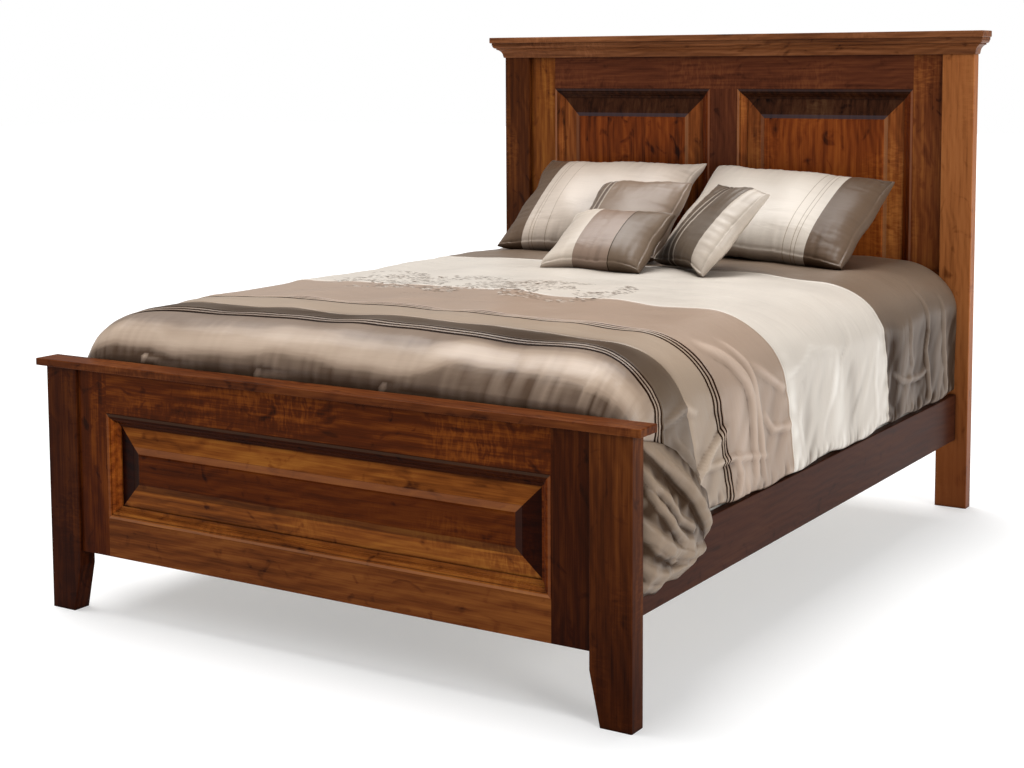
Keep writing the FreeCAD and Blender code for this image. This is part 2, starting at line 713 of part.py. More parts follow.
# ---------------------------------------------------------------- pillows
def cushion(half_w, half_h, thickness):
    """Crowned cushion, standing in the XZ plane: lens sections along its width, whose outline
    is then trimmed by four sides that curve in between the corners."""
    stations = ((-1.0, 0.10), (-0.86, 0.50), (-0.5, 0.86), (0.0, 1.0), (0.5, 0.86), (0.86, 0.50), (1.0, 0.10))
    sections = []
    seam = pillow_seam / 2
    for along, full in stations:
        x = half_w * along
        swell = seam + (thickness / 2 - seam) * full
        top, low = Vector(x, 0, half_h), Vector(x, 0, -half_h)
        to_front, to_back = Vector(0, -seam, 0), Vector(0, seam, 0)
        sections.append(Part.Wire([
            Part.Arc(low + to_front, Vector(x, -swell, 0), top + to_front).toShape(),
            Part.makeLine(top + to_front, top + to_back),
            Part.Arc(top + to_back, Vector(x, swell, 0), low + to_back).toShape(),
            Part.makeLine(low + to_back, low + to_front),
        ]))
    body = Part.makeLoft(sections, True, False)
    corners = [Vector(a * half_w, -thickness, b * half_h) for a, b in ((-1, -1), (1, -1), (1, 1), (-1, 1))]
    pulls = [Vector(0, 0, drawn_in), Vector(-drawn_in, 0, 0), Vector(0, 0, -drawn_in), Vector(drawn_in, 0, 0)]
    sides = []
    for start, end, pull in zip(corners, corners[1:] + corners[:1], pulls):
        sides.append(Part.Arc(start, (start + end) * 0.5 + pull, end).toShape())
    outline = Part.Face(Part.Wire(sides)).extrude(Vector(0, 2 * thickness, 0))
    return body.common(outline)


def lean(shape, x, y, z, back_deg, yaw_deg=0.0, roll_deg=0.0):
    """Tips a cushion back, turns it and puts its centre at a place."""
    shape.rotate(Vector(0, 0, 0), Vector(0, 1, 0), -roll_deg)
    shape.rotate(Vector(0, 0, 0), Vector(1, 0, 0), -back_deg)
    shape.rotate(Vector(0, 0, 0), Vector(0, 0, 1), yaw_deg)
    shape.translate(Vector(x, y, z))
    return shape


def seated(shape, support):
    """Lowers or raises a piece until it lies the seating clearance above its support."""
    lift = Vector(0, 0, 60)
    shape.translate(lift)
    for _ in range(12):
        gap = shape.distToShape(support)[0] - pillow_seat
        if abs(gap) < 0.05:
            break
        shape.translate(Vector(0, 0, -gap))
    return shape


quilt = comforter()
# heights are guesses for the centres; each cushion is then seated on the comforter
sham_row = post_face - sham_setback
pillow_z = shoulder_z + pillow_start_height
sham_left = lean(cushion(sham_half_width, sham_half_height, sham_thickness),
                 -sham_left_across, sham_row, pillow_z, 54.5, 0, 0.8)
sham_right = lean(cushion(wide_half_width, wide_half_height, sham_thickness),
                  sham_right_across, sham_row, pillow_z, 55, 0, -5)
accent_back = lean(cushion(accent_half_width, accent_half_height, accent_thickness),
                   -accent_across, sham_row - accent_ahead, pillow_z, 51.5, 0, 1.4)
accent_front = lean(cushion(small_half_width, small_half_height, small_thickness),
                    small_across, sham_row - small_ahead, pillow_z, 59.5, 1)
accent_turned = lean(cushion(turned_half_width, turned_half_height, turned_thickness),
                     turned_across, sham_row - turned_ahead, pillow_z, 43.5, -37)
pillows = {
    "sham_left": sham_left,
    "sham_right": sham_right,
    "accent_pillow_back": accent_back,
    "accent_pillow_front": accent_front,
    "accent_pillow_turned": accent_turned,
}
pillows = {name: seated(shape, quilt) for name, shape in pillows.items()}

# ---------------------------------------------------------------- nodes
nodes = {
    "footboard_leg_right": [leg],
    "footboard_leg_left": [mirrored(leg)],
    "footboard_stile_right": [foot.stile],
    "footboard_stile_left": [mirrored(foot.stile)],
    "footboard_top_rail": [foot.top_rail],
    "footboard_bottom_rail": [foot.bottom_rail],
    "footboard_panel": foot.panels,
    "footboard_moulding": foot.mouldings[0],
    "footboard_cap": [cap],
    "footboard_dowels": foot.dowels,
    "headboard_post_right": [post],
    "headboard_post_left": [mirrored(post)],
    "headboard_stile_right": [head.stile],
    "headboard_stile_left": [mirrored(head.stile)],
    "headboard_top_rail": [head.top_rail],
    "headboard_bottom_rail": [head.bottom_rail],
    "headboard_muntin": [head.muntin],
    "headboard_panel_left": [head.panels[0]],
    "headboard_panel_right": [head.panels[1]],
    "headboard_moulding_left": head.mouldings[0],
    "headboard_moulding_right": head.mouldings[1],
    "headboard_dowels": head.dowels,
    "crown_core": [crown_core],
    "crown_moulding": crown_strips(),
    "crown_board": [crown_board],
    "side_rail_right": [rail],
    "side_rail_left": [mirrored(rail)],
    "rail_cleats": pair(cleat),
    "cleat_screws": cleat_screws,
    "rail_hook_plates": rail_plates,
    "post_slot_plates": post_plates,
    "plate_screws": fitting_screws,
    "slat_screws": slat_screws,
    "centre_leg_screws": leg_screws,
    "leveller_inserts": inserts,
    "foundation": [foundation],
    "mattress": [mattress],
    "comforter": [quilt],
}
for number, shape in enumerate(slats, 1):
    nodes[f"slat_{number}"] = [shape]
for number, (block, foot_screw) in enumerate(zip(centre_legs, levellers), 1):
    nodes[f"centre_leg_{number}"] = [block]
    nodes[f"leveller_{number}"] = [foot_screw]
for name, shape in pillows.items():
    nodes[name] = [shape]

for name, shapes in nodes.items():
    solids = [solid for shape in shapes for solid in shape.Solids]
    whole = solids[0] if len(solids) == 1 else Part.Compound(solids)
    whole.translate(Vector(0, -bed_middle_y, 0))
    whole.exportStep(f"parts/{name}.step")
    b = whole.BoundBox
    print(f"{name:26s} solids {len(solids):3d} valid {whole.isValid()} faces {len(whole.Faces):4d} "
          f"x {b.XMin:8.1f} {b.XMax:8.1f} y {b.YMin:8.1f} {b.YMax:8.1f} z {b.ZMin:7.1f} {b.ZMax:7.1f}")
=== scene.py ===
"""Looks of a queen-size panel bed: stained maple frame, hidden fittings, foundation, mattress, comforter
and five pillows.

The wood and the fittings are the frame's own nodes with new materials. The soft pieces are surfaces worked
out here with numpy, each in the place of the solid that it stands for. Lengths are metres, Z is up, the foot
of the bed faces -Y and its head +Y.
"""
import functools
import math

import bmesh
import bpy
import numpy as np
from mathutils import Matrix, Vector


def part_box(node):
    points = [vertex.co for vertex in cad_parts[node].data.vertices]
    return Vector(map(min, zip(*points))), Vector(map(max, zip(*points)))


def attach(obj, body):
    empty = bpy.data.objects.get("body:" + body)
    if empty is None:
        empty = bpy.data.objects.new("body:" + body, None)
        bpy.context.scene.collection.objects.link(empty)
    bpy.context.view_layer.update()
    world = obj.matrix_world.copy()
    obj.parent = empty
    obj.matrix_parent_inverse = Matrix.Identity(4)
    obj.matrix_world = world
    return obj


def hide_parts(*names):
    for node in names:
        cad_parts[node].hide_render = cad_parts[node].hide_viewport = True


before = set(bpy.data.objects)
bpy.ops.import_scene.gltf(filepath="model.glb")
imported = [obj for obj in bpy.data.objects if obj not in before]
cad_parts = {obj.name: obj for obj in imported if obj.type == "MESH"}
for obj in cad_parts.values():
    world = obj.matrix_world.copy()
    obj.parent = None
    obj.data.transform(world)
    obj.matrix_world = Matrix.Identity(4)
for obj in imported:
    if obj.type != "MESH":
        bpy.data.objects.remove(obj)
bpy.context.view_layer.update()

# ------------------------------------------------------------------ sizes shared with the part's source
BED_MIDDLE = 1.0825            # the source measures along the bed from the footboard's face
RAIL_OUTSIDE = 0.788
RAIL_TOP = 0.349
HEM_Z = 0.3495
SHOULDER_Z = 0.756
CROWN = 0.012
SIDE_X = 0.795
FOOT_Y = 0.066
HEAD_Y = 2.118
SIDE_ROUND = (0.190, 0.150)


# ------------------------------------------------------------------ material tools
def linear(colour):
    """sRGB hex to the linear colour that a shader takes."""
    parts = [int(colour[i:i + 2], 16) / 255 for i in (1, 3, 5)]
    return [c / 12.92 if c <= 0.04045 else ((c + 0.055) / 1.055) ** 2.4 for c in parts] + [1.0]


def add_node(tree, kind, sockets=(), out=0, stops=(), **settings):
    """One shader node with its settings and links. It gives the output called out, or the node if out is
    None. Sockets are counted from the first, or named. Each takes a number, a vector, a hex colour or
    another node's output. Stops are a colour ramp's (place, hex) pairs in rising order."""
    node = tree.nodes.new("ShaderNode" + kind)
    for name, value in settings.items():
        setattr(node, name, value)
    given = sockets.items() if isinstance(sockets, dict) else enumerate(sockets)
    for name, value in given:
        socket = node.inputs[name]
        if isinstance(value, bpy.types.NodeSocket):
            tree.links.new(value, socket)
        else:
            socket.default_value = linear(value) if isinstance(value, str) else value
    if stops:
        elements = node.color_ramp.elements
        while len(elements) < len(stops):
            elements.new(1.0)
        for element, (place, colour) in zip(elements, stops):
            element.position = place
            element.color = linear(colour)
    return node if out is None else node.outputs[out]


def material(name):
    """An empty material and the function that adds nodes to it."""
    made = bpy.data.materials.new(name)
    made.use_nodes = True
    made.node_tree.nodes.clear()
    return made, functools.partial(add_node, made.node_tree)


def surface(add, sockets):
    """Ends a material in one Principled shader, whose plain values are set on its own sockets."""
    add("OutputMaterial", {"Surface": add("BsdfPrincipled", sockets)}, None)


def weighted(add, parts):
    """Sum of values times their weights."""
    total = 0.0
    for value, weight in parts:
        total = add("Math", (value, weight, total), operation="MULTIPLY_ADD")
    return total


# ------------------------------------------------------------------ wood
TURN_TO_Z = {"X": (0.0, math.pi / 2, 0.0), "Y": (math.pi / 2, 0.0, 0.0), "Z": (0.0, 0.0, 0.0)}
BACK_SKIN = 0.0006             # within this of a panel's flat back there is no painted light or shade
PAINTED_STRIP_COVER = 0.55             # how far a strip's painted highlight or painted shade covers the stain
ALL_OVER = 9.0                 # a margin wider than any moulding


def painted_panel_light(add, place, node, colour, light_tints, margin, strip, strip_light_tones):
    """Painted light and shade on the stain over the front of a raised panel or its moulding: one tint on the
    flat field, then one each above, below, left and right of it within a margin of the edge, lighter or
    darker as the light falls on that side. A narrow strip along each side is a painted highlight or painted
    shade in its hollow."""
    low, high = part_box(node)
    middle = [(a + b) / 2 for a, b in zip(low, high)]
    half = [(b - a) / 2 for a, b in zip(low, high)]
    off = add("VectorMath", (place, middle), operation="SUBTRACT")
    size = add("VectorMath", (off,), operation="ABSOLUTE")
    inset = add("VectorMath", (size, half), operation="SUBTRACT")
    off_x, off_y, off_z = add("SeparateXYZ", (off,), None).outputs
    from_x, _, from_z = add("SeparateXYZ", (inset,), None).outputs
    from_edge = add("Math", (from_x, from_z), operation="MAXIMUM")
    at_side = add("Math", (from_x, from_z), operation="GREATER_THAN")
    to_right = add("Math", (off_x, 0.0), operation="GREATER_THAN")
    to_top = add("Math", (off_z, 0.0), operation="GREATER_THAN")
    on_front = add("Math", (off_y, half[1] - BACK_SKIN), operation="LESS_THAN")

    def by_side(top, bottom, left, right):
        ends = add("MixRGB", (to_right, left, right))
        longs = add("MixRGB", (to_top, bottom, top))
        return add("MixRGB", (at_side, longs, ends))

    in_margin = add("Math", (from_edge, -margin), operation="GREATER_THAN")
    # painted light and shade: the field's tint, or the tint of the side whose margin the point lies in
    painted_tint = add("MixRGB", (in_margin, light_tints[0], by_side(*light_tints[1:])))
    colour = add("MixRGB", (on_front, colour, painted_tint), blend_type="MULTIPLY")
    # painted highlight or painted shade along a narrow strip of each side
    in_strip = add("Math", (from_edge, -strip[0], strip[1]), operation="COMPARE")
    in_strip = add("Math", (in_strip, on_front), operation="MULTIPLY")
    cover = add("Math", (in_strip, PAINTED_STRIP_COVER), operation="MULTIPLY")
    return add("MixRGB", (cover, colour, by_side(*strip_light_tones)))


def stained_maple(name, grain, seed, tone, painted_light, index):
    """Brown maple, planed and sanded, wiped with a dark reddish-brown stain and sprayed with satin lacquer.
    The stain gives cloudy patches and long soft streaks, the curl of the wood short bars of light across the
    grain, and the corners of the mouldings are darker, partly glaze wiped off the flats that stays there and
    partly painted shade. Raised panels and their mouldings take painted light and shade by side, and
    uprights painted shade towards the floor."""
    made, add = material(name)
    place = add("TexCoord", out="Object")
    board = add("Mapping", {
        "Vector": place,
        "Rotation": TURN_TO_Z[grain],
        "Location": (0.37 * seed, -0.53 * seed, 0.91 * seed),
    })

    def figure(scale, squeeze, detail, rough, bend, low, high):
        """Noise stretched along the grain by 1 / squeeze, whose range from low to high becomes 0 to 1."""
        way = add("Mapping", {"Vector": board, "Scale": (1.0, 1.0, squeeze)})
        noise = add("TexNoise", {
            "Vector": way, "Scale": scale, "Detail": detail, "Roughness": rough, "Distortion": bend,
        }, "Fac")
        return add("MapRange", (noise, low, high))

    cloud = figure(6.0, 0.40, 2.0, 0.5, 0.8, 0.28, 0.72)       # patches 170 by 420 mm
    streak = figure(60.0, 0.04, 5.0, 0.62, 0.3, 0.28, 0.72)    # streaks 17 by 420 mm
    fine = figure(260.0, 0.03, 4.0, 0.65, 0.0, 0.25, 0.75)     # pores and hair lines, 4 mm
    knots = figure(13.0, 0.75, 2.0, 0.5, 2.2, 0.60, 0.74)      # swirls 75 mm across
    bars = figure(26.0, 3.2, 1.5, 0.5, 1.2, 0.42, 0.66)        # curl, 12 mm along the grain
    where = figure(5.0, 0.6, 1.0, 0.55, 0.0, 0.50, 0.66)       # curl only shows in places
    curl = add("Math", (bars, where), operation="MULTIPLY")
    # growth rings, 3 mm apart in the tree, drawn 16 mm apart and faint so that the cathedrals show
    tilted = add("Mapping", {
        "Vector": board, "Rotation": (0.05, 0.03, 0.0), "Location": (0.13, 0.08, 0.0),
    })
    rings = add("TexWave", {
        "Vector": tilted, "Scale": 19.0, "Distortion": 9.0, "Detail": 2.0, "Detail Scale": 0.35,
        "Detail Roughness": 0.5,
    }, "Fac", wave_type="RINGS", rings_direction="Z")
    value = weighted(add, [
        (cloud, 0.24), (streak, 0.30), (fine, 0.22), (rings, 0.10), (curl, 0.17), (knots, -0.20),
    ])
    colour = add("ValToRGB", {"Fac": value}, stops=list(zip((0.12, 0.42, 0.78), tone)))
    # painted light and shade on raised panels and their mouldings
    if painted_light:
        colour = painted_panel_light(add, place, painted_light[0], colour, *painted_light[1:])
    elif grain == "Z":
        # painted shade: uprights are darker towards the floor
        height = add("SeparateXYZ", (place,), 2)
        shade_near_floor = add("MapRange", (height, 0.10, 0.62, 0.75, 0.0))
        colour = add("MixRGB", (shade_near_floor, colour, "#a08478"), blend_type="MULTIPLY")
    # darker within 12 mm of an inside corner: glaze left in corners and quirks, and painted shade there
    corner = add("AmbientOcclusion", {"Distance": 0.012}, "AO", samples=6)
    glaze_and_shade = add("MapRange", (corner, 0.35, 0.92, 0.70, 0.0))
    surface(add, {
        "Base Color": add("MixRGB", (glaze_and_shade, colour, "#140907")),
        "Roughness": add("MapRange", (streak, 0.0, 1.0, 0.30, 0.40)),
        "Normal": add("Bump", {"Strength": 0.07, "Distance": 0.0005, "Height": fine}),
        "IOR": index,
        "Specular IOR Level": 0.05,
        "Coat Weight": 0.02,
        "Coat Roughness": 0.18,
    })
    return made


# dark, middle and light tones of the stain on the boards of each group
DEEP_TONE = ("#1f0c04", "#3f1a08", "#643312")
LEG_TONE = ("#2b1207", "#54290f", "#7c451d")
FOOT_TONE = ("#2b1106", "#54240a", "#8e4b18")
BASE_TONE = ("#35180a", "#6b3817", "#935828")
WARM_TONE = ("#3d1b0b", "#84481c", "#b3722f")
# the right headboard post's tones are painted light: lighter than the other uprights, as it stands in the
# light
LIT_POST_TONE = ("#6e3a1a", "#ac6838", "#be7a46")
HEAD_TONE = ("#3c1b0b", "#7a4020", "#ab6832")
PANEL_TONE = ("#32160a", "#8e4c22", "#c47a3a")
TOP_TONE = ("#3c1b0e", "#63331e", "#834a2a")
RAIL_TONE = ("#301810", "#432317", "#51301f")
CAP_TONE = ("#2f140a", "#5c2e15", "#824a24")
CROWN_TONE = ("#34180e", "#7d4b2c", "#ac7048")

# painted light and shade, with a painted cool reflection above the headboard panels' fields: tints of the
# field and of what lies above, below, left and right of it, the margin's width, the middle and half width
# of the strip, both in metres in from the edge, and the strip's painted highlight or shade above, below,
# left and right
FOOT_PANEL_LIGHT = (
    ("#a68c7a", "#ffffff", "#ffffff", "#4a3020", "#54382a"), 0.102, (0.094, 0.008),
    ("#86543a", "#2a150c", "#301c14", "#3c2620"),
)
HEAD_PANEL_LIGHT = (
    ("#ecd2ba", "#7f8cbe", "#ffffff", "#ffffff", "#ffffff"), 0.102, (0.096, 0.006),
    ("#544a50", "#2a150c", "#8a5a40", "#a0704e"),
)
FOOT_MOULDING_LIGHT = (
    ("#ffffff", "#6c5648", "#ffffff", "#f0d4b8", "#c8a488"), ALL_OVER, (0.0040, 0.0032),
    ("#4a382c", "#a46e4c", "#74482e", "#7e5034"),
)
HEAD_MOULDING_LIGHT = (
    ("#ffffff", "#646478", "#c8ae98", "#ffffff", "#d0b098"), ALL_OVER, (0.0045, 0.0034),
    ("#483a3a", "#7a4c38", "#a47458", "#9a6a50"),
)

WOOD_OF_NODE = {
    "footboard_leg_right": ("Z", LEG_TONE),
    "footboard_leg_left": ("Z", DEEP_TONE),
    "footboard_stile_right": ("Z", DEEP_TONE),
    "footboard_stile_left": ("Z", FOOT_TONE),
    "footboard_top_rail": ("X", FOOT_TONE),
    "footboard_bottom_rail": ("X", BASE_TONE),
    "footboard_panel": ("X", WARM_TONE),
    "footboard_moulding": ("X", WARM_TONE),
    "footboard_cap": ("X", CAP_TONE),
    "headboard_post_right": ("Z", LIT_POST_TONE),
    "headboard_post_left": ("Z", LEG_TONE),
    "headboard_stile_right": ("Z", HEAD_TONE),
    "headboard_stile_left": ("Z", WARM_TONE),
    "headboard_top_rail": ("X", TOP_TONE),
    "headboard_bottom_rail": ("X", TOP_TONE),
    "headboard_muntin": ("Z", TOP_TONE),
    "headboard_panel_left": ("Z", PANEL_TONE),
    "headboard_panel_right": ("Z", PANEL_TONE),
    "headboard_moulding_left": ("Z", PANEL_TONE),
    "headboard_moulding_right": ("Z", PANEL_TONE),
    "crown_core": ("X", DEEP_TONE),
    "crown_moulding": ("X", CROWN_TONE),
    "crown_board": ("X", CROWN_TONE),
    "side_rail_right": ("Y", RAIL_TONE),
    "side_rail_left": ("Y", RAIL_TONE),
}
PAINTED_LIGHT_OF_NODE = {
    "footboard_panel": FOOT_PANEL_LIGHT,
    "headboard_panel_left": HEAD_PANEL_LIGHT,
    "headboard_panel_right": HEAD_PANEL_LIGHT,
    "footboard_moulding": FOOT_MOULDING_LIGHT,
    "headboard_moulding_left": HEAD_MOULDING_LIGHT,
    "headboard_moulding_right": HEAD_MOULDING_LIGHT,
}


def planed_pine(name, grain, seed):
    """Planed softwood, unfinished: pale straw yellow, with thin darker latewood lines and small knots."""
    made, add = material(name)
    board = add("Mapping", {
        "Vector": add("TexCoord", out="Object"),
        "Rotation": TURN_TO_Z[grain],
        "Location": (0.41 * seed, 0.29 * seed, 0.77 * seed),
    })
    # latewood lines 4 mm apart
    rings = add("TexWave", {
        "Vector": board, "Scale": 78.0, "Distortion": 3.2, "Detail": 2.0, "Detail Scale": 0.5,
    }, "Fac", wave_type="RINGS", rings_direction="Z", wave_profile="SAW")
    long_way = add("Mapping", {"Vector": board, "Scale": (1.0, 1.0, 0.05)})
    streak = add("TexNoise", {"Vector": long_way, "Scale": 160.0, "Detail": 4.0}, "Fac")
    colour = add("ValToRGB", {"Fac": weighted(add, [(rings, 0.55), (streak, 0.45)])}, stops=[
        (0.2, "#c79a5f"), (0.55, "#dfbe86"), (0.9, "#ecd3a3"),
    ])
    # knots about 12 mm across and 300 mm apart
    away = add("TexVoronoi", {"Vector": long_way, "Scale": 9.0}, "Distance")
    knot = add("MapRange", (away, 0.05, 0.10, 0.8, 0.0))
    surface(add, {
        "Base Color": add("MixRGB", (knot, colour, "#6d4022")),
        "Roughness": 0.62,
        "Specular IOR Level": 0.35,
        "Normal": add("Bump", {"Strength": 0.18, "Distance": 0.0006, "Height": streak}),
    })
    return made


# Each fitting's pattern scale and detail, its dark and pale tone, the strength and depth of its relief, and
# the plain values of its shader
FITTINGS = {
    # fluted birch dowel pins: pale cream with short fine grain
    "turned_birch": (420.0, 3.0, "#c9a874", "#e6cfa2", 0.15, 0.0004, {"Roughness": 0.5}),
    # pressed steel with an electroplated skin: dull grey metal with cloudy patches and fine rolling marks
    "zinc_plated_steel": (160.0, 3.0, "#8d9092", "#b9bbbc", 0.08, 0.0003, {"Metallic": 1.0}),
    # screws with a yellow passivated zinc skin
    "yellow_zinc_steel": (300.0, 3.0, "#9c8648", "#c9b778", 0.08, 0.0003, {"Metallic": 1.0}),
    # injection-moulded black foot: matte, with a fine spark-eroded skin
    "moulded_nylon": (900.0, 2.0, "#141415", "#232325", 0.2, 0.0003, {
        "Roughness": 0.55, "Specular IOR Level": 0.4,
    }),
}
# words in the names of nodes and what such nodes are made of; the first that fits holds
MADE_OF = (
    ("_screws", "yellow_zinc_steel"), ("_plates", "zinc_plated_steel"), ("_inserts", "zinc_plated_steel"),
    ("_dowels", "turned_birch"), ("slat_", "planed_pine_slats"), ("_cleats", "planed_pine_cleats"),
    ("centre_leg_", "planed_pine_legs"), ("leveller_", "moulded_nylon"),
)


def fitting(name):
    """A fitting's material: its colour, its relief and, on metal, its roughness follow one fine noise."""
    scale, detail, dark, pale, strength, depth, plain = FITTINGS[name]
    made, add = material(name)
    place = add("TexCoord", out="Object")
    noise = add("TexNoise", {"Vector": place, "Scale": scale, "Detail": detail}, "Fac")
    sockets = {
        "Base Color": add("ValToRGB", {"Fac": noise}, stops=[(0.3, dark), (0.7, pale)]),
        "Normal": add("Bump", {"Strength": strength, "Distance": depth, "Height": noise}),
        **plain,
    }
    if "Roughness" not in plain:
        sockets["Roughness"] = add("MapRange", (noise, 0.3, 0.7, 0.30, 0.48))
    surface(add, sockets)
    return made


def dress_frame():
    """Gives every hard node of the frame its material."""
    looks = {name: fitting(name) for name in FITTINGS}
    for word, grain, seed in (("slats", "X", 3), ("cleats", "Y", 5), ("legs", "Z", 7)):
        looks["planed_pine_" + word] = planed_pine("planed_pine_" + word, grain, seed)
    worn = {}
    for seed, (name, (grain, tone)) in enumerate(WOOD_OF_NODE.items(), 1):
        painted_light = (name, *PAINTED_LIGHT_OF_NODE[name]) if name in PAINTED_LIGHT_OF_NODE else None
        # a lower index keeps the white floor's glare off the foot end and the rails, as in the photograph
        index = 1.5 if name.startswith(("headboard", "crown")) else 1.28
        look = "stained_maple_" + name.replace("board_", "_")
        worn[name] = stained_maple(look, grain, seed, tone, painted_light, index)
    for name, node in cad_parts.items():
        look = worn.get(name) or next((looks[look] for word, look in MADE_OF if word in name), None)
        if look:
            node.data.materials.clear()
            node.data.materials.append(look)


# ------------------------------------------------------------------ surface tools
def smooth(value):
    """0 below 0, 1 above 1, and an S curve between."""
    held = np.clip(value, 0.0, 1.0)
    return held * held * (3 - 2 * held)


def bell(value, width):
    """A bump of height 1 at 0 that falls to a third at one width."""
    return np.exp(-(value / width) ** 2)


def ripple(first, second, length, seed, count=7):
    """Uneven waves over a surface: a sum of sine waves of about the given length whose directions and phases
    come from a seeded table."""
    table = np.random.default_rng(seed)
    total = np.zeros(np.broadcast(first, second).shape)
    for _ in range(count):
        angle = table.uniform(0, math.pi)
        size = length * table.uniform(0.7, 1.5)
        phase = table.uniform(0, 2 * math.pi)
        way = math.cos(angle) * first + math.sin(angle) * second
        total += np.sin(2 * math.pi * way / size + phase)
    return total / math.sqrt(count)


def normals(points):
    """Unit normals of a grid of points, from the cross product of its two ways."""
    down = np.gradient(points, axis=0)
    over = np.gradient(points, axis=1)
    n = np.cross(over, down)
    return n / np.maximum(np.linalg.norm(n, axis=2, keepdims=True), 1e-12)


def stations(start, stop, coarse, fine, near, reach):
    """Places from start to stop whose spacing is coarse, and close to fine beside the places in near."""
    ruler = np.linspace(start, stop, 6000)
    density = np.full(ruler.shape, 1 / coarse)
    for spot in near:
        density = np.maximum(density, (1 / fine) * bell(ruler - spot, reach))
    count = np.concatenate([[0], np.cumsum((density[1:] + density[:-1]) / 2 * np.diff(ruler))])
    total = int(round(count[-1]))
    return np.interp(np.linspace(0, count[-1], total + 1), count, ruler)


def grid_faces(rows, columns, first=0, flip=False):
    """Quads of a grid of points counted row by row."""
    corner = first + np.arange(rows - 1)[:, None] * columns + np.arange(columns - 1)[None, :]
    quads = np.stack([corner, corner + 1, corner + columns + 1, corner + columns], -1).reshape(-1, 4)
    return quads[:, ::-1] if flip else quads


def rim_of(rows, columns):
    """Point numbers round the edge of a grid, once round."""
    top = np.arange(columns)
    right = np.arange(1, rows) * columns + columns - 1
    bottom = (rows - 1) * columns + np.arange(columns - 2, -1, -1)
    left = np.arange(rows - 2, 0, -1) * columns
    return np.concatenate([top, right, bottom, left])


def shell(outer, inner):
    """A closed shell from two grids of the same size: the outer skin, the inner skin turned round and a strip
    between their edges. Gives the points and the quads."""
    rows, columns = outer.shape[:2]
    points = np.concatenate([outer.reshape(-1, 3), inner.reshape(-1, 3)])
    size = rows * columns
    rim = rim_of(rows, columns)
    ahead = np.roll(rim, -1)
    strip = np.stack([ahead, rim, rim + size, ahead + size], -1)
    faces = np.concatenate([grid_faces(rows, columns), grid_faces(rows, columns, size, True), strip])
    return points, facing_out(points, faces)


def facing_out(points, faces):
    """The faces, turned round if their signed volume, a sixth of the sum of a . (b x c), is below nothing."""
    a, b, c, d = (points[faces[:, i]] for i in range(4))
    volume = np.sum(a * np.cross(b, c)) + np.sum(a * np.cross(c, d))
    return faces if volume > 0 else faces[:, ::-1]


def as_mesh(name, points, faces, flat, look, node, crest=None):
    """Puts points, faces and the cloth's own flat coordinates into a smooth padded mesh in the place of its
    solid and on the body of the same name. Crest shading gives each point painted light (1) or painted shade
    (0), mostly by how far it stands above or below the plain cloth."""
    mesh = bpy.data.meshes.new(name)
    mesh.from_pydata(points, [], faces.tolist())
    layer = mesh.uv_layers.new(name="cloth")
    corners = np.empty(len(mesh.loops), np.int32)
    mesh.loops.foreach_get("vertex_index", corners)
    layer.data.foreach_set("uv", flat[corners].astype(np.float32).ravel())
    mesh.polygons.foreach_set("use_smooth", np.ones(len(mesh.polygons), bool))
    if crest is not None:
        crest_shading_layer = mesh.attributes.new("crest", "FLOAT", "POINT")
        crest_shading_layer.data.foreach_set("value", np.clip(crest, 0, 1).astype(np.float32))
    mesh.materials.append(look)
    mesh.update()
    made = bpy.data.objects.new(name, mesh)
    bpy.context.scene.collection.objects.link(made)
    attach(made, node)
    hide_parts(node)
    return made


# ------------------------------------------------------------------ cloth materials
THREAD = 0.0022                # threads are about 0.3 mm apart, drawn at 2.2 mm so that they show close up
WAVE_OF_METRE = 0.31416        # a wave texture's scale times its spacing in metres


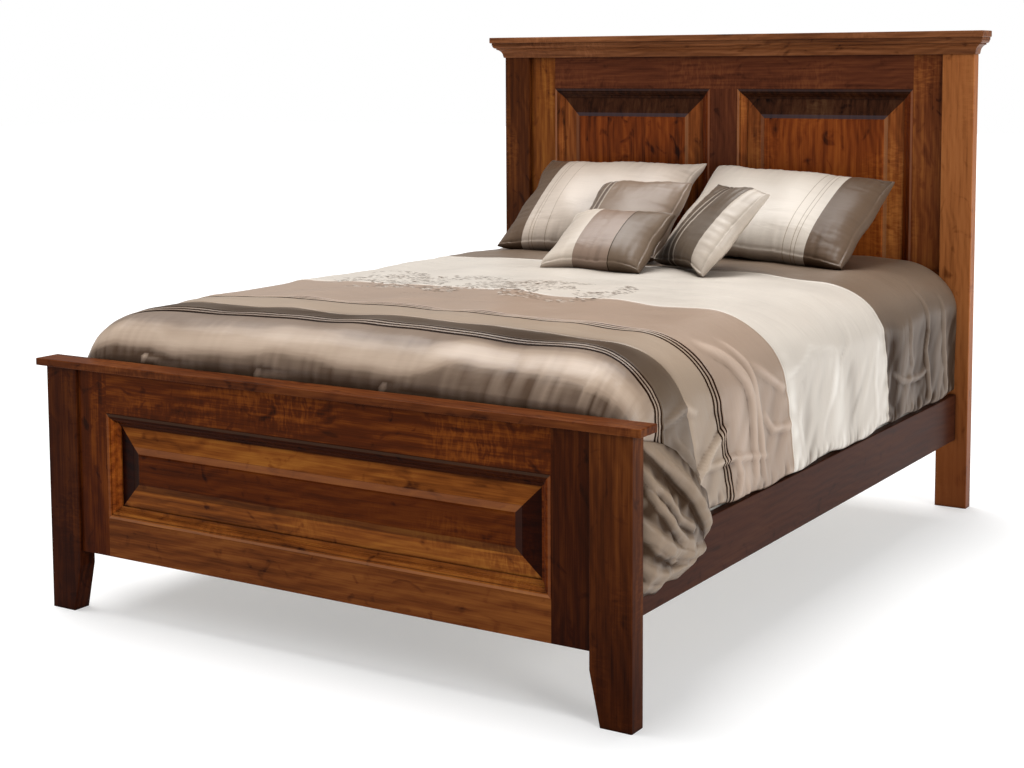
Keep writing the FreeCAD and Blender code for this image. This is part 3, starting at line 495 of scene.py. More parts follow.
def satin(name, make_colour):
    """Polyester satin: long floats give a broad highlight drawn out across the threads, with fine ribs and
    soft crush marks. The colour comes from a function of the cloth's own coordinates in metres."""
    made, add = material(name)
    vector = add("UVMap", uv_map="cloth")
    across, along, _ = add("SeparateXYZ", (vector,), None).outputs
    colour = make_colour(add, across, along, vector)
    slub_way = add("Mapping", {"Vector": vector, "Scale": (3.0, 160.0, 1.0)})
    slub = add("TexNoise", {"Vector": slub_way, "Scale": 1.6, "Detail": 3.0}, "Fac")
    ribs = add("ValToRGB", {"Fac": slub}, stops=[(0.25, "#9a9a9a"), (0.75, "#ffffff")])
    colour = add("MixRGB", (0.10, colour, ribs), blend_type="MULTIPLY")
    # painted shade in folds narrower than 80 mm: the colour is darkened towards a warm brown
    inside = add("AmbientOcclusion", {"Distance": 0.080}, "AO", samples=6)
    painted_fold_shade = add("MapRange", (inside, 0.30, 0.95, 0.75, 0.0))
    colour = add("MixRGB", (painted_fold_shade, colour, "#77675a"), blend_type="MULTIPLY")
    # painted highlight on a crest and painted shade in a crease, from each point's crest shading
    crest = add("Attribute", out="Fac", attribute_name="crest")
    turned = add("ValToRGB", {"Fac": crest}, stops=[
        (0.0, "#7d7066"), (0.42, "#d6d2ce"), (0.60, "#dedad6"), (1.0, "#ffffff"),
    ])
    colour = add("MixRGB", (1.0, colour, turned), blend_type="MULTIPLY")
    # soft crush marks about 120 mm long, as the cloth lies over its filling
    long_way = add("Mapping", {"Vector": vector, "Scale": (1.0, 2.4, 1.0)})
    crush = add("TexNoise", {
        "Vector": long_way, "Scale": 9.0, "Detail": 2.0, "Roughness": 0.45, "Distortion": 0.5,
    }, "Fac")
    lumps = add("Bump", {"Strength": 0.30, "Distance": 0.010, "Height": crush})
    weave = add("TexWave", {
        "Vector": vector, "Scale": WAVE_OF_METRE / THREAD, "Distortion": 0.6, "Detail": 1.0,
    }, "Fac", wave_type="BANDS", bands_direction="Y")
    threads = weighted(add, [(weave, 0.5), (slub, 0.5)])
    # dark colours, among them the sewn lines at the tucks painted dark as shade, have no satin gloss, as spun
    # sewing thread has none
    tone = add("RGBToBW", (colour,))
    surface(add, {
        "Base Color": colour,
        "Roughness": 0.38,
        "Anisotropic": 0.5,
        "Specular IOR Level": add("MapRange", (tone, 0.03, 0.12, 0.02, 0.36)),
        "Normal": add("Bump", {
            "Strength": 0.16, "Distance": 0.0005, "Height": threads, "Normal": lumps,
        }),
    })
    return made


def banded(edges, sideways=False):
    """Cloth of plain bands: (first place, hex) pairs along the cloth, or across it, in metres."""
    def make(add, across, along, vector):
        place = across if sideways else along
        colour = edges[0][1]
        for first, band in edges[1:]:
            past = add("Math", (place, first), operation="GREATER_THAN")
            colour = add("MixRGB", (past, colour, band))
        return colour
    return make


# the sprigs' middle line along the cloth and how far from it they thin out; the same across the cloth
SPRIG_ALONG, SPRIG_ALONG_FADE = 0.85, (0.130435, 0.217391)
SPRIG_ACROSS, SPRIG_ACROSS_FADE = -0.12, (0.34, 0.52)
# turn of each set of stitches in radians, their scale and their thread
SPRIG_THREADS = ((0.7, 40.0, "#6a5746"), (-0.5, 46.0, "#fbf6ee"), (1.9, 52.0, "#8a7460"))


def sprigged(ground):
    """Machine-stitched sprigs of short brown and white satin stitches, 6 to 12 mm long, scattered in loose
    patches along the border between the rose and the cream band, on the left and middle of the top."""
    def make(add, across, along, vector):
        colour = ground(add, across, along, vector)
        patch = add("TexNoise", {"Vector": vector, "Scale": 8.0, "Detail": 3.0}, "Fac")
        patch = add("MapRange", (patch, 0.42, 0.52))
        for place, middle, (near, far) in (
            (along, SPRIG_ALONG, SPRIG_ALONG_FADE),
            (across, SPRIG_ACROSS, SPRIG_ACROSS_FADE),
        ):
            away = add("Math", (place, middle), operation="SUBTRACT")
            away = add("Math", (away,), operation="ABSOLUTE")
            inside = add("MapRange", (away, near, far, 1.0, 0.0))
            patch = add("Math", (patch, inside), operation="MULTIPLY")
        sewn = add("Math", (patch, 0.45), operation="GREATER_THAN")
        for turn_by, scale, thread in SPRIG_THREADS:
            way = add("Mapping", {
                "Vector": vector, "Rotation": (0.0, 0.0, turn_by), "Scale": (1.0, 2.6, 1.0),
                "Location": (turn_by, scale, 0.0),
            })
            away = add("TexVoronoi", {"Vector": way, "Scale": scale}, "Distance", distance="CHEBYCHEV")
            stitch = add("Math", (away, 0.27), operation="LESS_THAN")
            mask = add("Math", (stitch, sewn), operation="MULTIPLY")
            colour = add("MixRGB", (mask, colour, thread))
        return colour
    return make


# ------------------------------------------------------------------ comforter
# how far the foot end rolls down: distance from the end, draw-in of the sides, drop of the top
FOOT_ROLL = np.array([
    (0.000, 0.020, 0.118),
    (0.012, 0.012, 0.084),
    (0.036, 0.006, 0.052),
    (0.080, 0.003, 0.025),
    (0.150, 0.001, 0.009),
    (0.260, 0.000, 0.000),
])
ROLL_STEPS = np.hypot(np.diff(FOOT_ROLL[:, 0]), np.diff(FOOT_ROLL[:, 2]))
ROLL_CLOTH = np.concatenate([[0.0], np.cumsum(ROLL_STEPS)])
ROLL_SPARE = ROLL_CLOTH[-1] - FOOT_ROLL[-1, 0]
WALL_CLOTH = SHOULDER_Z - FOOT_ROLL[0, 2] - HEM_Z
# how far the bands drift towards the head as they come down the sides: place along the bed, drift
DRIFT = np.array([
    (0.066, 0.0), (0.16, 0.055), (0.28, 0.12), (0.44, 0.125), (0.80, 0.11), (1.50, 0.06), (2.118, 0.0),
])
# places of the sewn lines, measured along the bed on the comforter's top
TUCKS_AT = (0.150, 0.160, 0.171, 0.400, 0.415, 0.430)
BANDS_AT = (0.268, 0.780, 1.475)

# Folds on the side, each a height, a half width and a line of (along the bed, up) places in metres
FOLDS = (
    (0.0100, 0.0144, (
        (.494, .720), (.549, .690), (.604, .636), (.637, .586), (.651, .538), (.666, .459), (.672, .38),
    )),
    (0.0080, 0.0115, ((.597, .710), (.633, .665), (.647, .629), (.672, .557), (.707, .448), (.712, .378))),
    (0.0060, 0.0101, ((.664, .655), (.741, .615), (.812, .581))),
    (0.0060, 0.0101, ((.706, .534), (.756, .491), (.842, .482))),
    (0.0022, 0.0090, ((.826, .602), (.900, .615), (.991, .650), (1.151, .631))),
    (0.0022, 0.0120, ((1.160, .621), (1.136, .518), (1.072, .442), (1.057, .380))),
    (0.0020, 0.0105, ((1.262, .680), (1.252, .633), (1.193, .585), (1.180, .520))),
    (0.0070, 0.0108, ((1.838, .690), (1.860, .580), (1.840, .527), (1.863, .431), (1.870, .360))),
    (0.0070, 0.0108, ((1.985, .660), (1.991, .506), (2.015, .408), (2.020, .355))),
    (0.0050, 0.0094, ((1.580, .495), (1.659, .466), (1.780, .458), (1.840, .470))),
    (0.0022, 0.0105, ((1.440, .600), (1.425, .500), (1.450, .400), (1.440, .360))),
    (0.0060, 0.0086, ((.346, .466), (.438, .466), (.539, .463), (.618, .451), (.728, .433))),
    (0.0080, 0.0115, ((.494, .532), (.437, .509), (.364, .464), (.330, .420))),
    (0.0060, 0.0094, ((.196, .595), (.247, .607), (.299, .616), (.350, .600))),
    (0.0060, 0.0086, ((.250, .560), (.300, .520), (.345, .470))),
    (0.0022, 0.0105, ((.930, .560), (.915, .480), (.945, .410), (.940, .360))),
    (0.0016, 0.0090, ((1.320, .480), (1.290, .430), (1.300, .370))),
    (0.0045, 0.0086, ((1.700, .640), (1.690, .560), (1.720, .500))),
    (0.0060, 0.0101, ((.560, .460), (.580, .420), (.570, .360))),
)
# tufts tied through the filling: on the sides as (along, up), on the foot roll as (across, up)
SIDE_TUFTS = ((.346, .466), (.539, .463), (1.19, .600), (1.86, .580))
FOOT_TUFTS = ((-.561, .644), (-.199, .642), (.165, .634))
ROLL_FRONT = 0.14              # what lies nearer the foot than this is the front of the roll
PULL_LENGTH = 0.16             # crease beside a foot tuft
TUFT_PATCH = 0.011             # half the diagonal of the lighter square round a foot tuft
FAR = 9.0                      # farther than any two points of the bed

# the filling's thickness at lengths along the cloth, the cloth's own, and the width and depth of the rim that
# narrows to the sewn edge
FILLING = np.array([(-0.05, 0.012), (0.0, 0.006), (0.10, 0.008), (0.20, 0.016), (0.28, 0.022)])
CLOTH_THICK, RIM_WIDTH, RIM_DEPTH = 0.002, 0.030, 0.010

# The gathered foot corner: place along the rail, swell, hang, start, as shares; then its folds
BUNCH_LONG, BUNCH_DEEP, BUNCH_THICK, BUNCH_RISE = 0.340, 0.105, 0.054, 0.240
BUNCH = np.array([
    (0.00, 0.45, 0.72, 1.00), (0.10, 0.84, 0.95, 0.97), (0.26, 0.98, 1.00, 0.92), (0.40, 0.80, 0.93, 0.86),
    (0.56, 0.96, 0.98, 0.76), (0.74, 0.78, 0.86, 0.60), (0.90, 0.42, 0.42, 0.40), (1.00, 0.25, 0.03, 0.28),
])
BUNCH_FOLDS = (
    (0.0130, 0.019, ((.085, .600), (.110, .583), (.187, .518), (.268, .450), (.327, .385), (.385, .335))),
    (0.0090, 0.013, ((.048, .441), (.091, .392), (.168, .344), (.259, .317), (.385, .300))),
    (0.0070, 0.011, ((.085, .500), (.113, .453), (.168, .395), (.225, .351), (.270, .335))),
    (0.0080, 0.013, ((.050, .345), (.110, .300), (.190, .280), (.290, .288), (.380, .312))),
    (0.0060, 0.009, ((.060, .400), (.115, .352), (.200, .312), (.290, .300))),
    (0.0070, 0.012, ((.060, .290), (.140, .266), (.220, .260), (.310, .272))),
    (0.0060, 0.010, ((.070, .540), (.100, .500), (.150, .455), (.205, .400), (.260, .372))),
)


def roll_of(cloth, part):
    """One column of the foot roll at a length along the cloth, eased over 24 mm so that no corner is left."""
    steps = np.linspace(-0.012, 0.012, 9)
    value = np.zeros_like(cloth)
    for step in steps:
        value += np.interp(cloth + step, ROLL_CLOTH, FOOT_ROLL[:, part])
    return value / len(steps)


def cloth_at(place):
    """Length along the cloth of a place along the bed."""
    from_foot = np.asarray(place) - FOOT_Y
    ruler = np.linspace(0.0, ROLL_CLOTH[-1], 400)
    reach = np.interp(ruler, ROLL_CLOTH, FOOT_ROLL[:, 0])
    rolled = np.interp(from_foot, reach, ruler)
    return np.where(from_foot < FOOT_ROLL[-1, 0], rolled, from_foot + ROLL_SPARE)


def comforter_columns():
    """Places across half the comforter: share of the flat top, angle of the shoulder, share of the side."""
    top = np.linspace(0, 1, 50)
    shoulder = np.linspace(0, math.pi / 2, 25)[1:]
    side = np.linspace(0, 1, 44)[1:]
    shares = np.concatenate([top, np.ones(len(shoulder) + len(side))])
    angles = np.concatenate([0 * top, shoulder, np.full(len(side), math.pi / 2)])
    drops = np.concatenate([0 * top, 0 * shoulder, side])
    return shares, angles, drops


def comforter_form(cloth):
    """Outer form: for each length along the cloth an upturned U, a crowned top, an elliptic shoulder and an
    upright side, rolled down at the foot; gives points, the length across the cloth and the share of side
    drop."""
    shares, angles, drops = comforter_columns()
    section_x = (SIDE_X - SIDE_ROUND[0]) * shares + SIDE_ROUND[0] * np.sin(angles)
    section_z = CROWN * (1 - shares ** 2) - SIDE_ROUND[1] * (1 - np.cos(angles))
    section_z = section_z - drops * (SHOULDER_Z - SIDE_ROUND[1] - HEM_Z)
    across = np.concatenate([[0.0], np.cumsum(np.hypot(np.diff(section_x), np.diff(section_z)))])
    # over the flat of the bed the foot's sewn lines lie 55 mm nearer the head than on the shoulders
    near_foot = smooth((cloth - 0.01) / 0.15) * (1 - smooth((cloth - 0.175) / 0.11))
    laid = cloth[:, None] + 0.055 * near_foot[:, None] * (1 - smooth((across - 0.56) / 0.22))
    past = laid > ROLL_CLOTH[-1]
    reach = np.where(past, laid - ROLL_SPARE, roll_of(laid, 0))
    draw = np.where(past, 0.0, roll_of(laid, 1))
    drop = np.where(past, 0.0, roll_of(laid, 2))
    settle = smooth((reach - 0.02) / 0.24)
    side = SIDE_X - draw
    top = SHOULDER_Z - drop
    round_x = 0.120 + (SIDE_ROUND[0] - 0.120) * settle
    round_z = 0.110 + (SIDE_ROUND[1] - 0.110) * settle
    x = (side - round_x) * shares + round_x * np.sin(angles)
    z = top + CROWN * (1 - shares ** 2) - round_z * (1 - np.cos(angles))
    z = z - drops * (top - round_z - HEM_Z)
    place = FOOT_Y + reach
    drift = np.interp(place, DRIFT[:, 0], DRIFT[:, 1])
    fall = np.clip((SHOULDER_Z - z) / (SHOULDER_Z - HEM_Z), 0, 1)
    half = np.stack([x, place + drift * fall, z], -1)
    mirrored = half[:, :0:-1] * (-1, 1, 1)
    points = np.concatenate([mirrored, half], 1)
    across = np.concatenate([-across[:0:-1], across])
    fall = np.concatenate([fall[:, :0:-1], fall], 1)
    return points, across, fall


def comforter_wall(edge, count):
    """Foot end: from the first U-shaped edge straight down to the hem behind the footboard."""
    share = np.linspace(1, 0, count + 1)[:-1, None, None]
    foot = edge.copy()
    foot[:, 0] *= 0.955
    foot[:, 1] += 0.004
    foot[:, 2] = HEM_Z
    return edge + (foot - edge) * share


def from_line(along, up, line):
    """Signed distance from places on the side to a line of points, and the share of the line at the nearest
    spot: for each length of the line the foot of the perpendicular, held at its ends, and the nearest of
    these."""
    line = np.array(line)
    best = np.full(np.shape(along), FAR)
    share = np.zeros(np.shape(along))
    count = len(line) - 1
    for i in range(count):
        start, run = line[i], line[i + 1] - line[i]
        length = np.hypot(run[0], run[1])
        part = np.clip(((along - start[0]) * run[0] + (up - start[1]) * run[1]) / length ** 2, 0, 1)
        away_along = along - start[0] - run[0] * part
        away_up = up - start[1] - run[1] * part
        side = np.sign(run[0] * away_up - run[1] * away_along)
        away = np.hypot(away_along, away_up)
        nearer = away < np.abs(best)
        best = np.where(nearer, np.where(side == 0, 1.0, side) * away, best)
        share = np.where(nearer, (i + part) / count, share)
    return best, share


def folded(along, up, folds):
    """Height of a set of folds: a round ridge on each line with a sharp crease on its lower side, fading
    towards the line's ends."""
    total = np.zeros(np.shape(along))
    for height, width, line in folds:
        away, share = from_line(along, up, line)
        ridge = bell(away, width) - 0.55 * np.exp(-np.abs(away + 1.45 * width) / (0.45 * width))
        total += height * ridge * np.sqrt(np.clip(np.sin(math.pi * (0.06 + 0.88 * share)), 0, 1))
    return total


def tuft(away):
    """A tied tuft: a pit 6 mm deep with a small knot of cloth standing in it."""
    return -0.0060 * np.exp(-away / 0.009) + 0.0080 * bell(away, 0.0055)


def comforter_detail(points, cloth, across, fall, wall):
    """Height of the stuffed cloth over the plain form: soft lumps, upright folds on the sides, sewn tucks
    with puckers beside them, piped band edges, tufts and the folds of the table; and each point's crest
    shading, its painted light and shade."""
    s = cloth[:, None]
    t = across[None, :]
    x, along, up = points[..., 0], points[..., 1], points[..., 2]
    lumps = 0.0030 * ripple(s, t, 0.34, 5) + 0.0009 * ripple(s, t, 0.15, 6)
    bend = t + 0.10 * np.sin(4.1 * s)
    waves = np.sin(2 * math.pi * s / 0.27 + 1.1 * np.sin(2.6 * s) + 1.6 * bend)
    waves = waves + 0.5 * np.sin(2 * math.pi * s / 0.155 + 2.2 * np.sin(1.9 * s) - 1.2 * bend)
    height = lumps * (1 - 0.3 * fall) + 0.0020 * waves * smooth((fall - 0.10) / 0.5)
    pucker = ripple(s * 0.3, t, 0.030, 9, 9) * 0.7
    seams = np.zeros_like(height)
    for place in TUCKS_AT:
        away = s - cloth_at(place)
        seams = seams + 0.0018 * bell(away, 0.0028) - 0.0024 * bell(away + 0.0055, 0.0026)
        height += 0.0005 * pucker * bell(away, 0.035) * smooth((fall - 0.1) / 0.3)
    for place in BANDS_AT[1:]:
        away = s - cloth_at(place)
        seams = seams + 0.0014 * bell(away, 0.0035) - 0.0018 * bell(np.abs(away) - 0.0065, 0.003)
        height += 0.0012 * pucker * bell(away, 0.040) * smooth((fall - 0.05) / 0.3)
    seam = s - cloth_at(BANDS_AT[0])
    seams = seams - 0.0020 * bell(seam, 0.004)
    height += 0.0010 * pucker * bell(seam, 0.035) * smooth((fall - 0.1) / 0.3)
    # the hem is gathered in short upright puckers
    height += 0.0030 * ripple(s, t * 0.15, 0.026, 27, 7) * smooth((fall - 0.84) / 0.16)
    height += 0.0009 * ripple(s + 0.6 * t, 0.4 * t, 0.055, 29, 7) * smooth((fall - 0.25) / 0.3)
    # the foot roll is drawn up in fine upright puckers where it meets the footboard
    low_roll = bell(s - 0.02, 0.07)
    height += low_roll * (0.55 + 0.75 * smooth((t - 0.30) / 0.12)) * (
        0.0008 * ripple(s * 0.15, t, 0.045, 17, 8) + 0.0010 * ripple(s * 0.15, t, 0.020, 18, 8))
    for across_at, up_at in FOOT_TUFTS:
        height += tuft(np.hypot(x - across_at, up - up_at) + FAR * (along > ROLL_FRONT))
        # the cloth is pulled into a crease and a ridge to the right of the tuft
        run = np.clip(x - across_at, 0, PULL_LENGTH)
        line = up - up_at + 0.012 * np.sin(9 * run)
        pull = (run > 0) * (run < PULL_LENGTH) * bell(run, 0.11) * (along < ROLL_FRONT)
        height += 0.0045 * bell(line, 0.007) * pull
        height -= 0.0030 * bell(line - 0.011, 0.005) * pull
    on_side = smooth((fall - 0.02) / 0.10)
    right = x > 0
    along = np.where(right, along, along + 0.055)
    up = np.where(right, up, up - 0.012)
    height += folded(along, up, FOLDS) * on_side
    for along_at, up_at in SIDE_TUFTS:
        height += tuft(np.hypot(along - along_at, up - up_at)) * on_side
    # painted light and shade: lighter on ridges, darker in hollows and along the seams' grooves
    crest = 0.54 + (height - 0.8 * lumps + 0.35 * seams) / 0.0105
    # a small square set on its corner round each tuft at the foot is made lighter
    for across_at, up_at in FOOT_TUFTS:
        square = TUFT_PATCH - np.abs(points[..., 0] - across_at) - np.abs(points[..., 2] - up_at)
        crest += 1.4 * smooth(square / 0.003) * (points[..., 1] < ROLL_FRONT)
    # painted highlight along the roll's crest, painted shade behind and under it, and a painted highlight on
    # the head band's top with painted shade down its sides
    wander = 0.008 * np.cos(2 * math.pi * (t - 0.135) / 0.54)
    reach = s - 0.020 + wander + 0.003 * ripple(0 * s, t, 0.13, 33, 5)
    reach = reach - 0.022 * smooth((t - 0.16) / 0.20)
    flat = 1 - smooth((fall - 0.10) / 0.25)
    crest += 0.38 * bell(reach - 0.030, 0.019)
    crest -= 0.46 * smooth((0.018 - reach) / 0.018)
    crest -= 0.36 * smooth((reach - 0.046) / 0.026) * (1 - smooth((reach - 0.17) / 0.10)) * flat
    past_band = smooth((s - cloth_at(BANDS_AT[2])) / 0.004)
    crest += (0.34 - 0.66 * smooth((fall - 0.08) / 0.35)) * past_band
    return (height + seams) * np.where(wall, 0.5, 1.0)[:, None], crest


def gathered_corner(side):
    """The foot corner's spare cloth, gathered outside the rail: a belly between its upper and lower edges,
    from splines through the table's rows, with the folds of the table on it. Side is 1 for the right, -1
    for the left."""
    rows, columns = 96, 110
    share = np.linspace(0, 1, columns)[None, :]
    down = np.linspace(0, 1, rows)[:, None]
    swell, hang, start = (np.interp(share, BUNCH[:, 0], BUNCH[:, i]) for i in (1, 2, 3))
    wavy = 0.006 * ripple(share, 0 * share, 0.30, 41, 5)
    low = HEM_Z - BUNCH_DEEP * hang + np.abs(wavy)
    high = RAIL_TOP + BUNCH_RISE * start
    up = high + (low - high) * down + 0 * share
    along = FOOT_Y + BUNCH_LONG * share + 0 * down
    belly = np.clip(np.sin(math.pi * down ** 1.16), 0, 1) ** 0.75
    ends = np.clip(1 - np.abs(2 * share - 1) ** 8, 0, 1) ** 0.5
    inside = RAIL_OUTSIDE + 0.0012
    folds = 1.55 * folded(along, up, BUNCH_FOLDS) + 0.0014 * ripple(along, up, 0.05, 43)
    out = 0.004 + (BUNCH_THICK * (0.12 + 0.66 * swell) * belly + folds * np.clip(belly * 1.6, 0, 1)) * ends
    out = np.clip(out, 0.003, None)
    outer = np.stack([side * (inside + out), along, up], -1)
    inner = np.stack([side * np.full(out.shape, inside), along, up], -1)
    points, faces = shell(outer, inner)
    flat = np.stack([up + 0 * along, along - 0.95], -1).reshape(-1, 2)
    # painted shade over the gathered cloth's flats and painted highlights on its folds
    crest = 0.14 + folds / 0.0085
    return points, faces, np.concatenate([flat, flat]), np.concatenate([crest.ravel(), crest.ravel()])


def make_comforter():
    """The comforter: outer skin with its detail, inner skin up to 24 mm inside, thin at its sewn edges."""
    sewn = [float(cloth_at(p)) for p in TUCKS_AT + BANDS_AT]
    length = float(cloth_at(HEAD_Y))
    cloth = stations(0.0, length, 0.0085, 0.0022, sewn, 0.011)
    points, across, fall = comforter_form(cloth)
    wall_rows = 20
    wall = comforter_wall(points[0], wall_rows)
    points = np.concatenate([wall, points])
    down = np.linspace(-WALL_CLOTH, 0, wall_rows + 1)[:-1]
    cloth = np.concatenate([down, cloth])
    fall = np.concatenate([np.repeat(fall[:1], wall_rows, 0), fall])
    is_wall = cloth < 0
    outward = normals(points)
    middle = points.shape[1] // 2
    if outward[-40, middle, 2] < 0:
        outward = -outward
    height, crest = comforter_detail(points, cloth, across, fall, is_wall)
    # the hem is drawn up between the folds
    hang = smooth((fall - 0.80) / 0.20) * (1 - is_wall[:, None])
    sway = np.clip(ripple(cloth[:, None], 0 * across[None], 0.17, 23), -1, 1)
    points[..., 2] += 0.016 * hang * (0.5 + 0.5 * sway)
    # distance to the sewn edges, for the thin rim
    to_edge = np.minimum(cloth[:, None] - cloth[0], cloth[-1] - cloth[:, None])
    to_side = np.minimum(across - across[0], across[-1] - across)[None, :]
    to_edge = np.minimum(to_edge, to_side)
    full = np.sqrt(np.clip(1 - (1 - np.clip(to_edge / RIM_WIDTH, 0, 1)) ** 2, 0, 1))
    outer = points + outward * (height * full - RIM_DEPTH * (1 - full))[..., None]
    # the filling is thin at the foot, where the mattress's rim comes close
    filling = np.interp(cloth, FILLING[:, 0], FILLING[:, 1])
    thick = filling[:, None] * full + CLOTH_THICK
    inner = points - outward * (thick + RIM_DEPTH * (1 - full))[..., None]
    verts, faces = shell(outer, inner)
    s, t = np.meshgrid(cloth, across, indexing="ij")
    flat = np.stack([t, s], -1).reshape(-1, 2)
    parts = [(verts, faces, np.concatenate([flat, flat]), np.concatenate([crest.ravel(), crest.ravel()]))]
    parts += [gathered_corner(1), gathered_corner(-1)]
    first = np.cumsum([0] + [len(part[0]) for part in parts])
    verts = np.concatenate([part[0] for part in parts])
    faces = np.concatenate([part[1] + start for part, start in zip(parts, first)])
    flat = np.concatenate([part[2] for part in parts])
    crest = np.concatenate([part[3] for part in parts])
    verts[:, 1] -= BED_MIDDLE
    greige, taupe, tan, rose, cream = "#c3ad99", "#7f6c59", "#c4af9a", "#c6ae9b", "#fdf6ec"
    shaded_bunch_greige, head_band, thread = "#98836e", "#83705f", "#3a2618"
    # the gathered corners, below -0.45 along the cloth, are greige painted darker as shade
    edges = [(-1.0, shaded_bunch_greige), (-0.45, greige)]
    # before each tuck a dark line: painted shade of the tuck
    for place, after in zip(TUCKS_AT, (greige, greige, taupe, tan, rose, rose)):
        at = float(cloth_at(place))
        edges += [(at - 0.0078, thread), (at - 0.0026, after)]
    edges += [(float(cloth_at(p)), band) for p, band in ((0.268, tan), (0.777, cream), (1.478, head_band))]
    look = satin("satin_bands", sprigged(banded(sorted(edges))))
    as_mesh("comforter_quilt", verts, faces, flat, look, "comforter", crest)


# ------------------------------------------------------------------ pillows
def turn(axis, angle):
    """Turning matrix about one axis, angle in degrees."""
    c, s = math.cos(math.radians(angle)), math.sin(math.radians(angle))
    table = {
        "X": [[1, 0, 0], [0, c, -s], [0, s, c]],
        "Y": [[c, 0, s], [0, 1, 0], [-s, 0, c]],
        "Z": [[c, -s, 0], [s, c, 0], [0, 0, 1]],
    }
    return np.array(table[axis])


def pillow_skin(half_width, half_height, thickness, seed, blunt):
    """Front half of a stuffed cushion: a wavy sewn outline with sides that curve in between the corners,
    crowned by the product of two flattened arches and fuller below, with a corded seam, puckers that run in
    from it and long soft creases. Gives x, z, depth and crest shading, the painted light and shade of its
    puckers, seam and creases."""
    columns, rows, drawn_in = 150, 130, 0.013
    a = np.sin(np.linspace(-1, 1, columns) * math.pi / 2)[None, :]
    b = np.sin(np.linspace(-1, 1, rows) * math.pi / 2)[:, None]
    corner = blunt * np.abs(a * b) ** 5
    x = half_width * a * (1 - corner) - drawn_in * a * (1 - b ** 2)
    z = half_height * b * (1 - corner) - drawn_in * b * (1 - a ** 2)
    x = x + 0.0045 * np.abs(a) ** 3 * ripple(b * half_height, 0 * a, 0.13, seed + 3, 4)
    z = z + 0.0050 * np.abs(b) ** 3 * ripple(a * half_width, 0 * b, 0.15, seed + 4, 4)
    arch = (np.clip(1 - np.abs(a) ** 2.5, 0, 1) * np.clip(1 - np.abs(b) ** 2.5, 0, 1)) ** 0.52
    depth = 0.0015 + (thickness / 2 - 0.0015) * arch * (1 - 0.10 * b)
    to_side = half_width * (1 - np.abs(a)) + 0 * b
    to_end = half_height * (1 - np.abs(b)) + 0 * a
    ends = np.clip(ripple(x, z * 0.12, 0.026, seed, 7), -1.2, 1.6) * np.exp(-to_end / 0.045)
    sides = np.clip(ripple(x * 0.12, z, 0.026, seed + 1, 7), -1.2, 1.6) * np.exp(-to_side / 0.055)
    slack = ripple(x + 0.5 * z, 0.35 * (z - 0.5 * x), 0.17, seed + 2, 6)
    fine = arch ** 0.7 * (0.0026 * ends + 0.0015 * sides)
    to_seam = np.minimum(to_side, to_end)
    cord = 0.0022 * bell(to_seam - 0.0035, 0.0026) - 0.0012 * bell(to_seam - 0.0095, 0.0030)
    depth = depth + fine + 0.0030 * arch ** 0.7 * slack + cord
    return x, z, depth, 0.5 + (fine + 0.6 * cord + 0.0008 * slack) / 0.011


def make_pillow(name, node, slot, size, turned, blunt, bands, seed):
    """One pillow: front and back skins sewn at their edge, leaned and turned as its solid is, about the
    middle of that solid's box."""
    half_width, half_height, thickness = size
    lean, yaw, roll = turned
    x, z, front, crest = pillow_skin(half_width, half_height, thickness, seed, blunt)
    back, back_crest = pillow_skin(half_width, half_height, thickness, seed + 50, blunt)[2:]
    # the corners lie back or forward a little, each its own way
    u, v = x / half_width, z / half_height
    flop = 0.010 * (u * v) ** 4 * np.sin(seed + 2.0 * u + 3.0 * v)
    outer = np.stack([x, flop - front, z], -1)
    inner = np.stack([x, flop + back, z], -1)
    verts, faces = shell(outer, inner)
    flat = np.stack([x, z], -1).reshape(-1, 2)
    flat = np.concatenate([flat, flat])
    place = turn("Z", yaw) @ turn("X", -lean) @ turn("Y", -roll)
    low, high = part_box(node)
    middle = (np.array(low) + np.array(high)) / 2
    verts = verts @ place.T + middle
    crest = np.concatenate([crest.ravel(), back_crest.ravel()])
    look = satin("satin_" + name, banded(bands, True))
    as_mesh(name, verts, faces, flat, look, node, crest)


def shaded_stitch_lines(places, cloth, thread="#c0ad99", width=0.002):
    """Lines of thread across a cloth, as bands: at each place a darker line, the thread with painted shade of
    its groove, and then the cloth again.
    """
    return [band for at in places for band in ((at, thread), (at + width, cloth))]


# the left sham's cream is a darker copy of the right one's, as painted shade
SHADED_LEFT_CREAM, RIGHT_CREAM, SHAM_TAUPE = "#f4e6d8", "#fff6ea", "#7d6856"
BACK_STRIPE, TURNED_STRIPE = "#d2c6b8", "#e0d4c6"
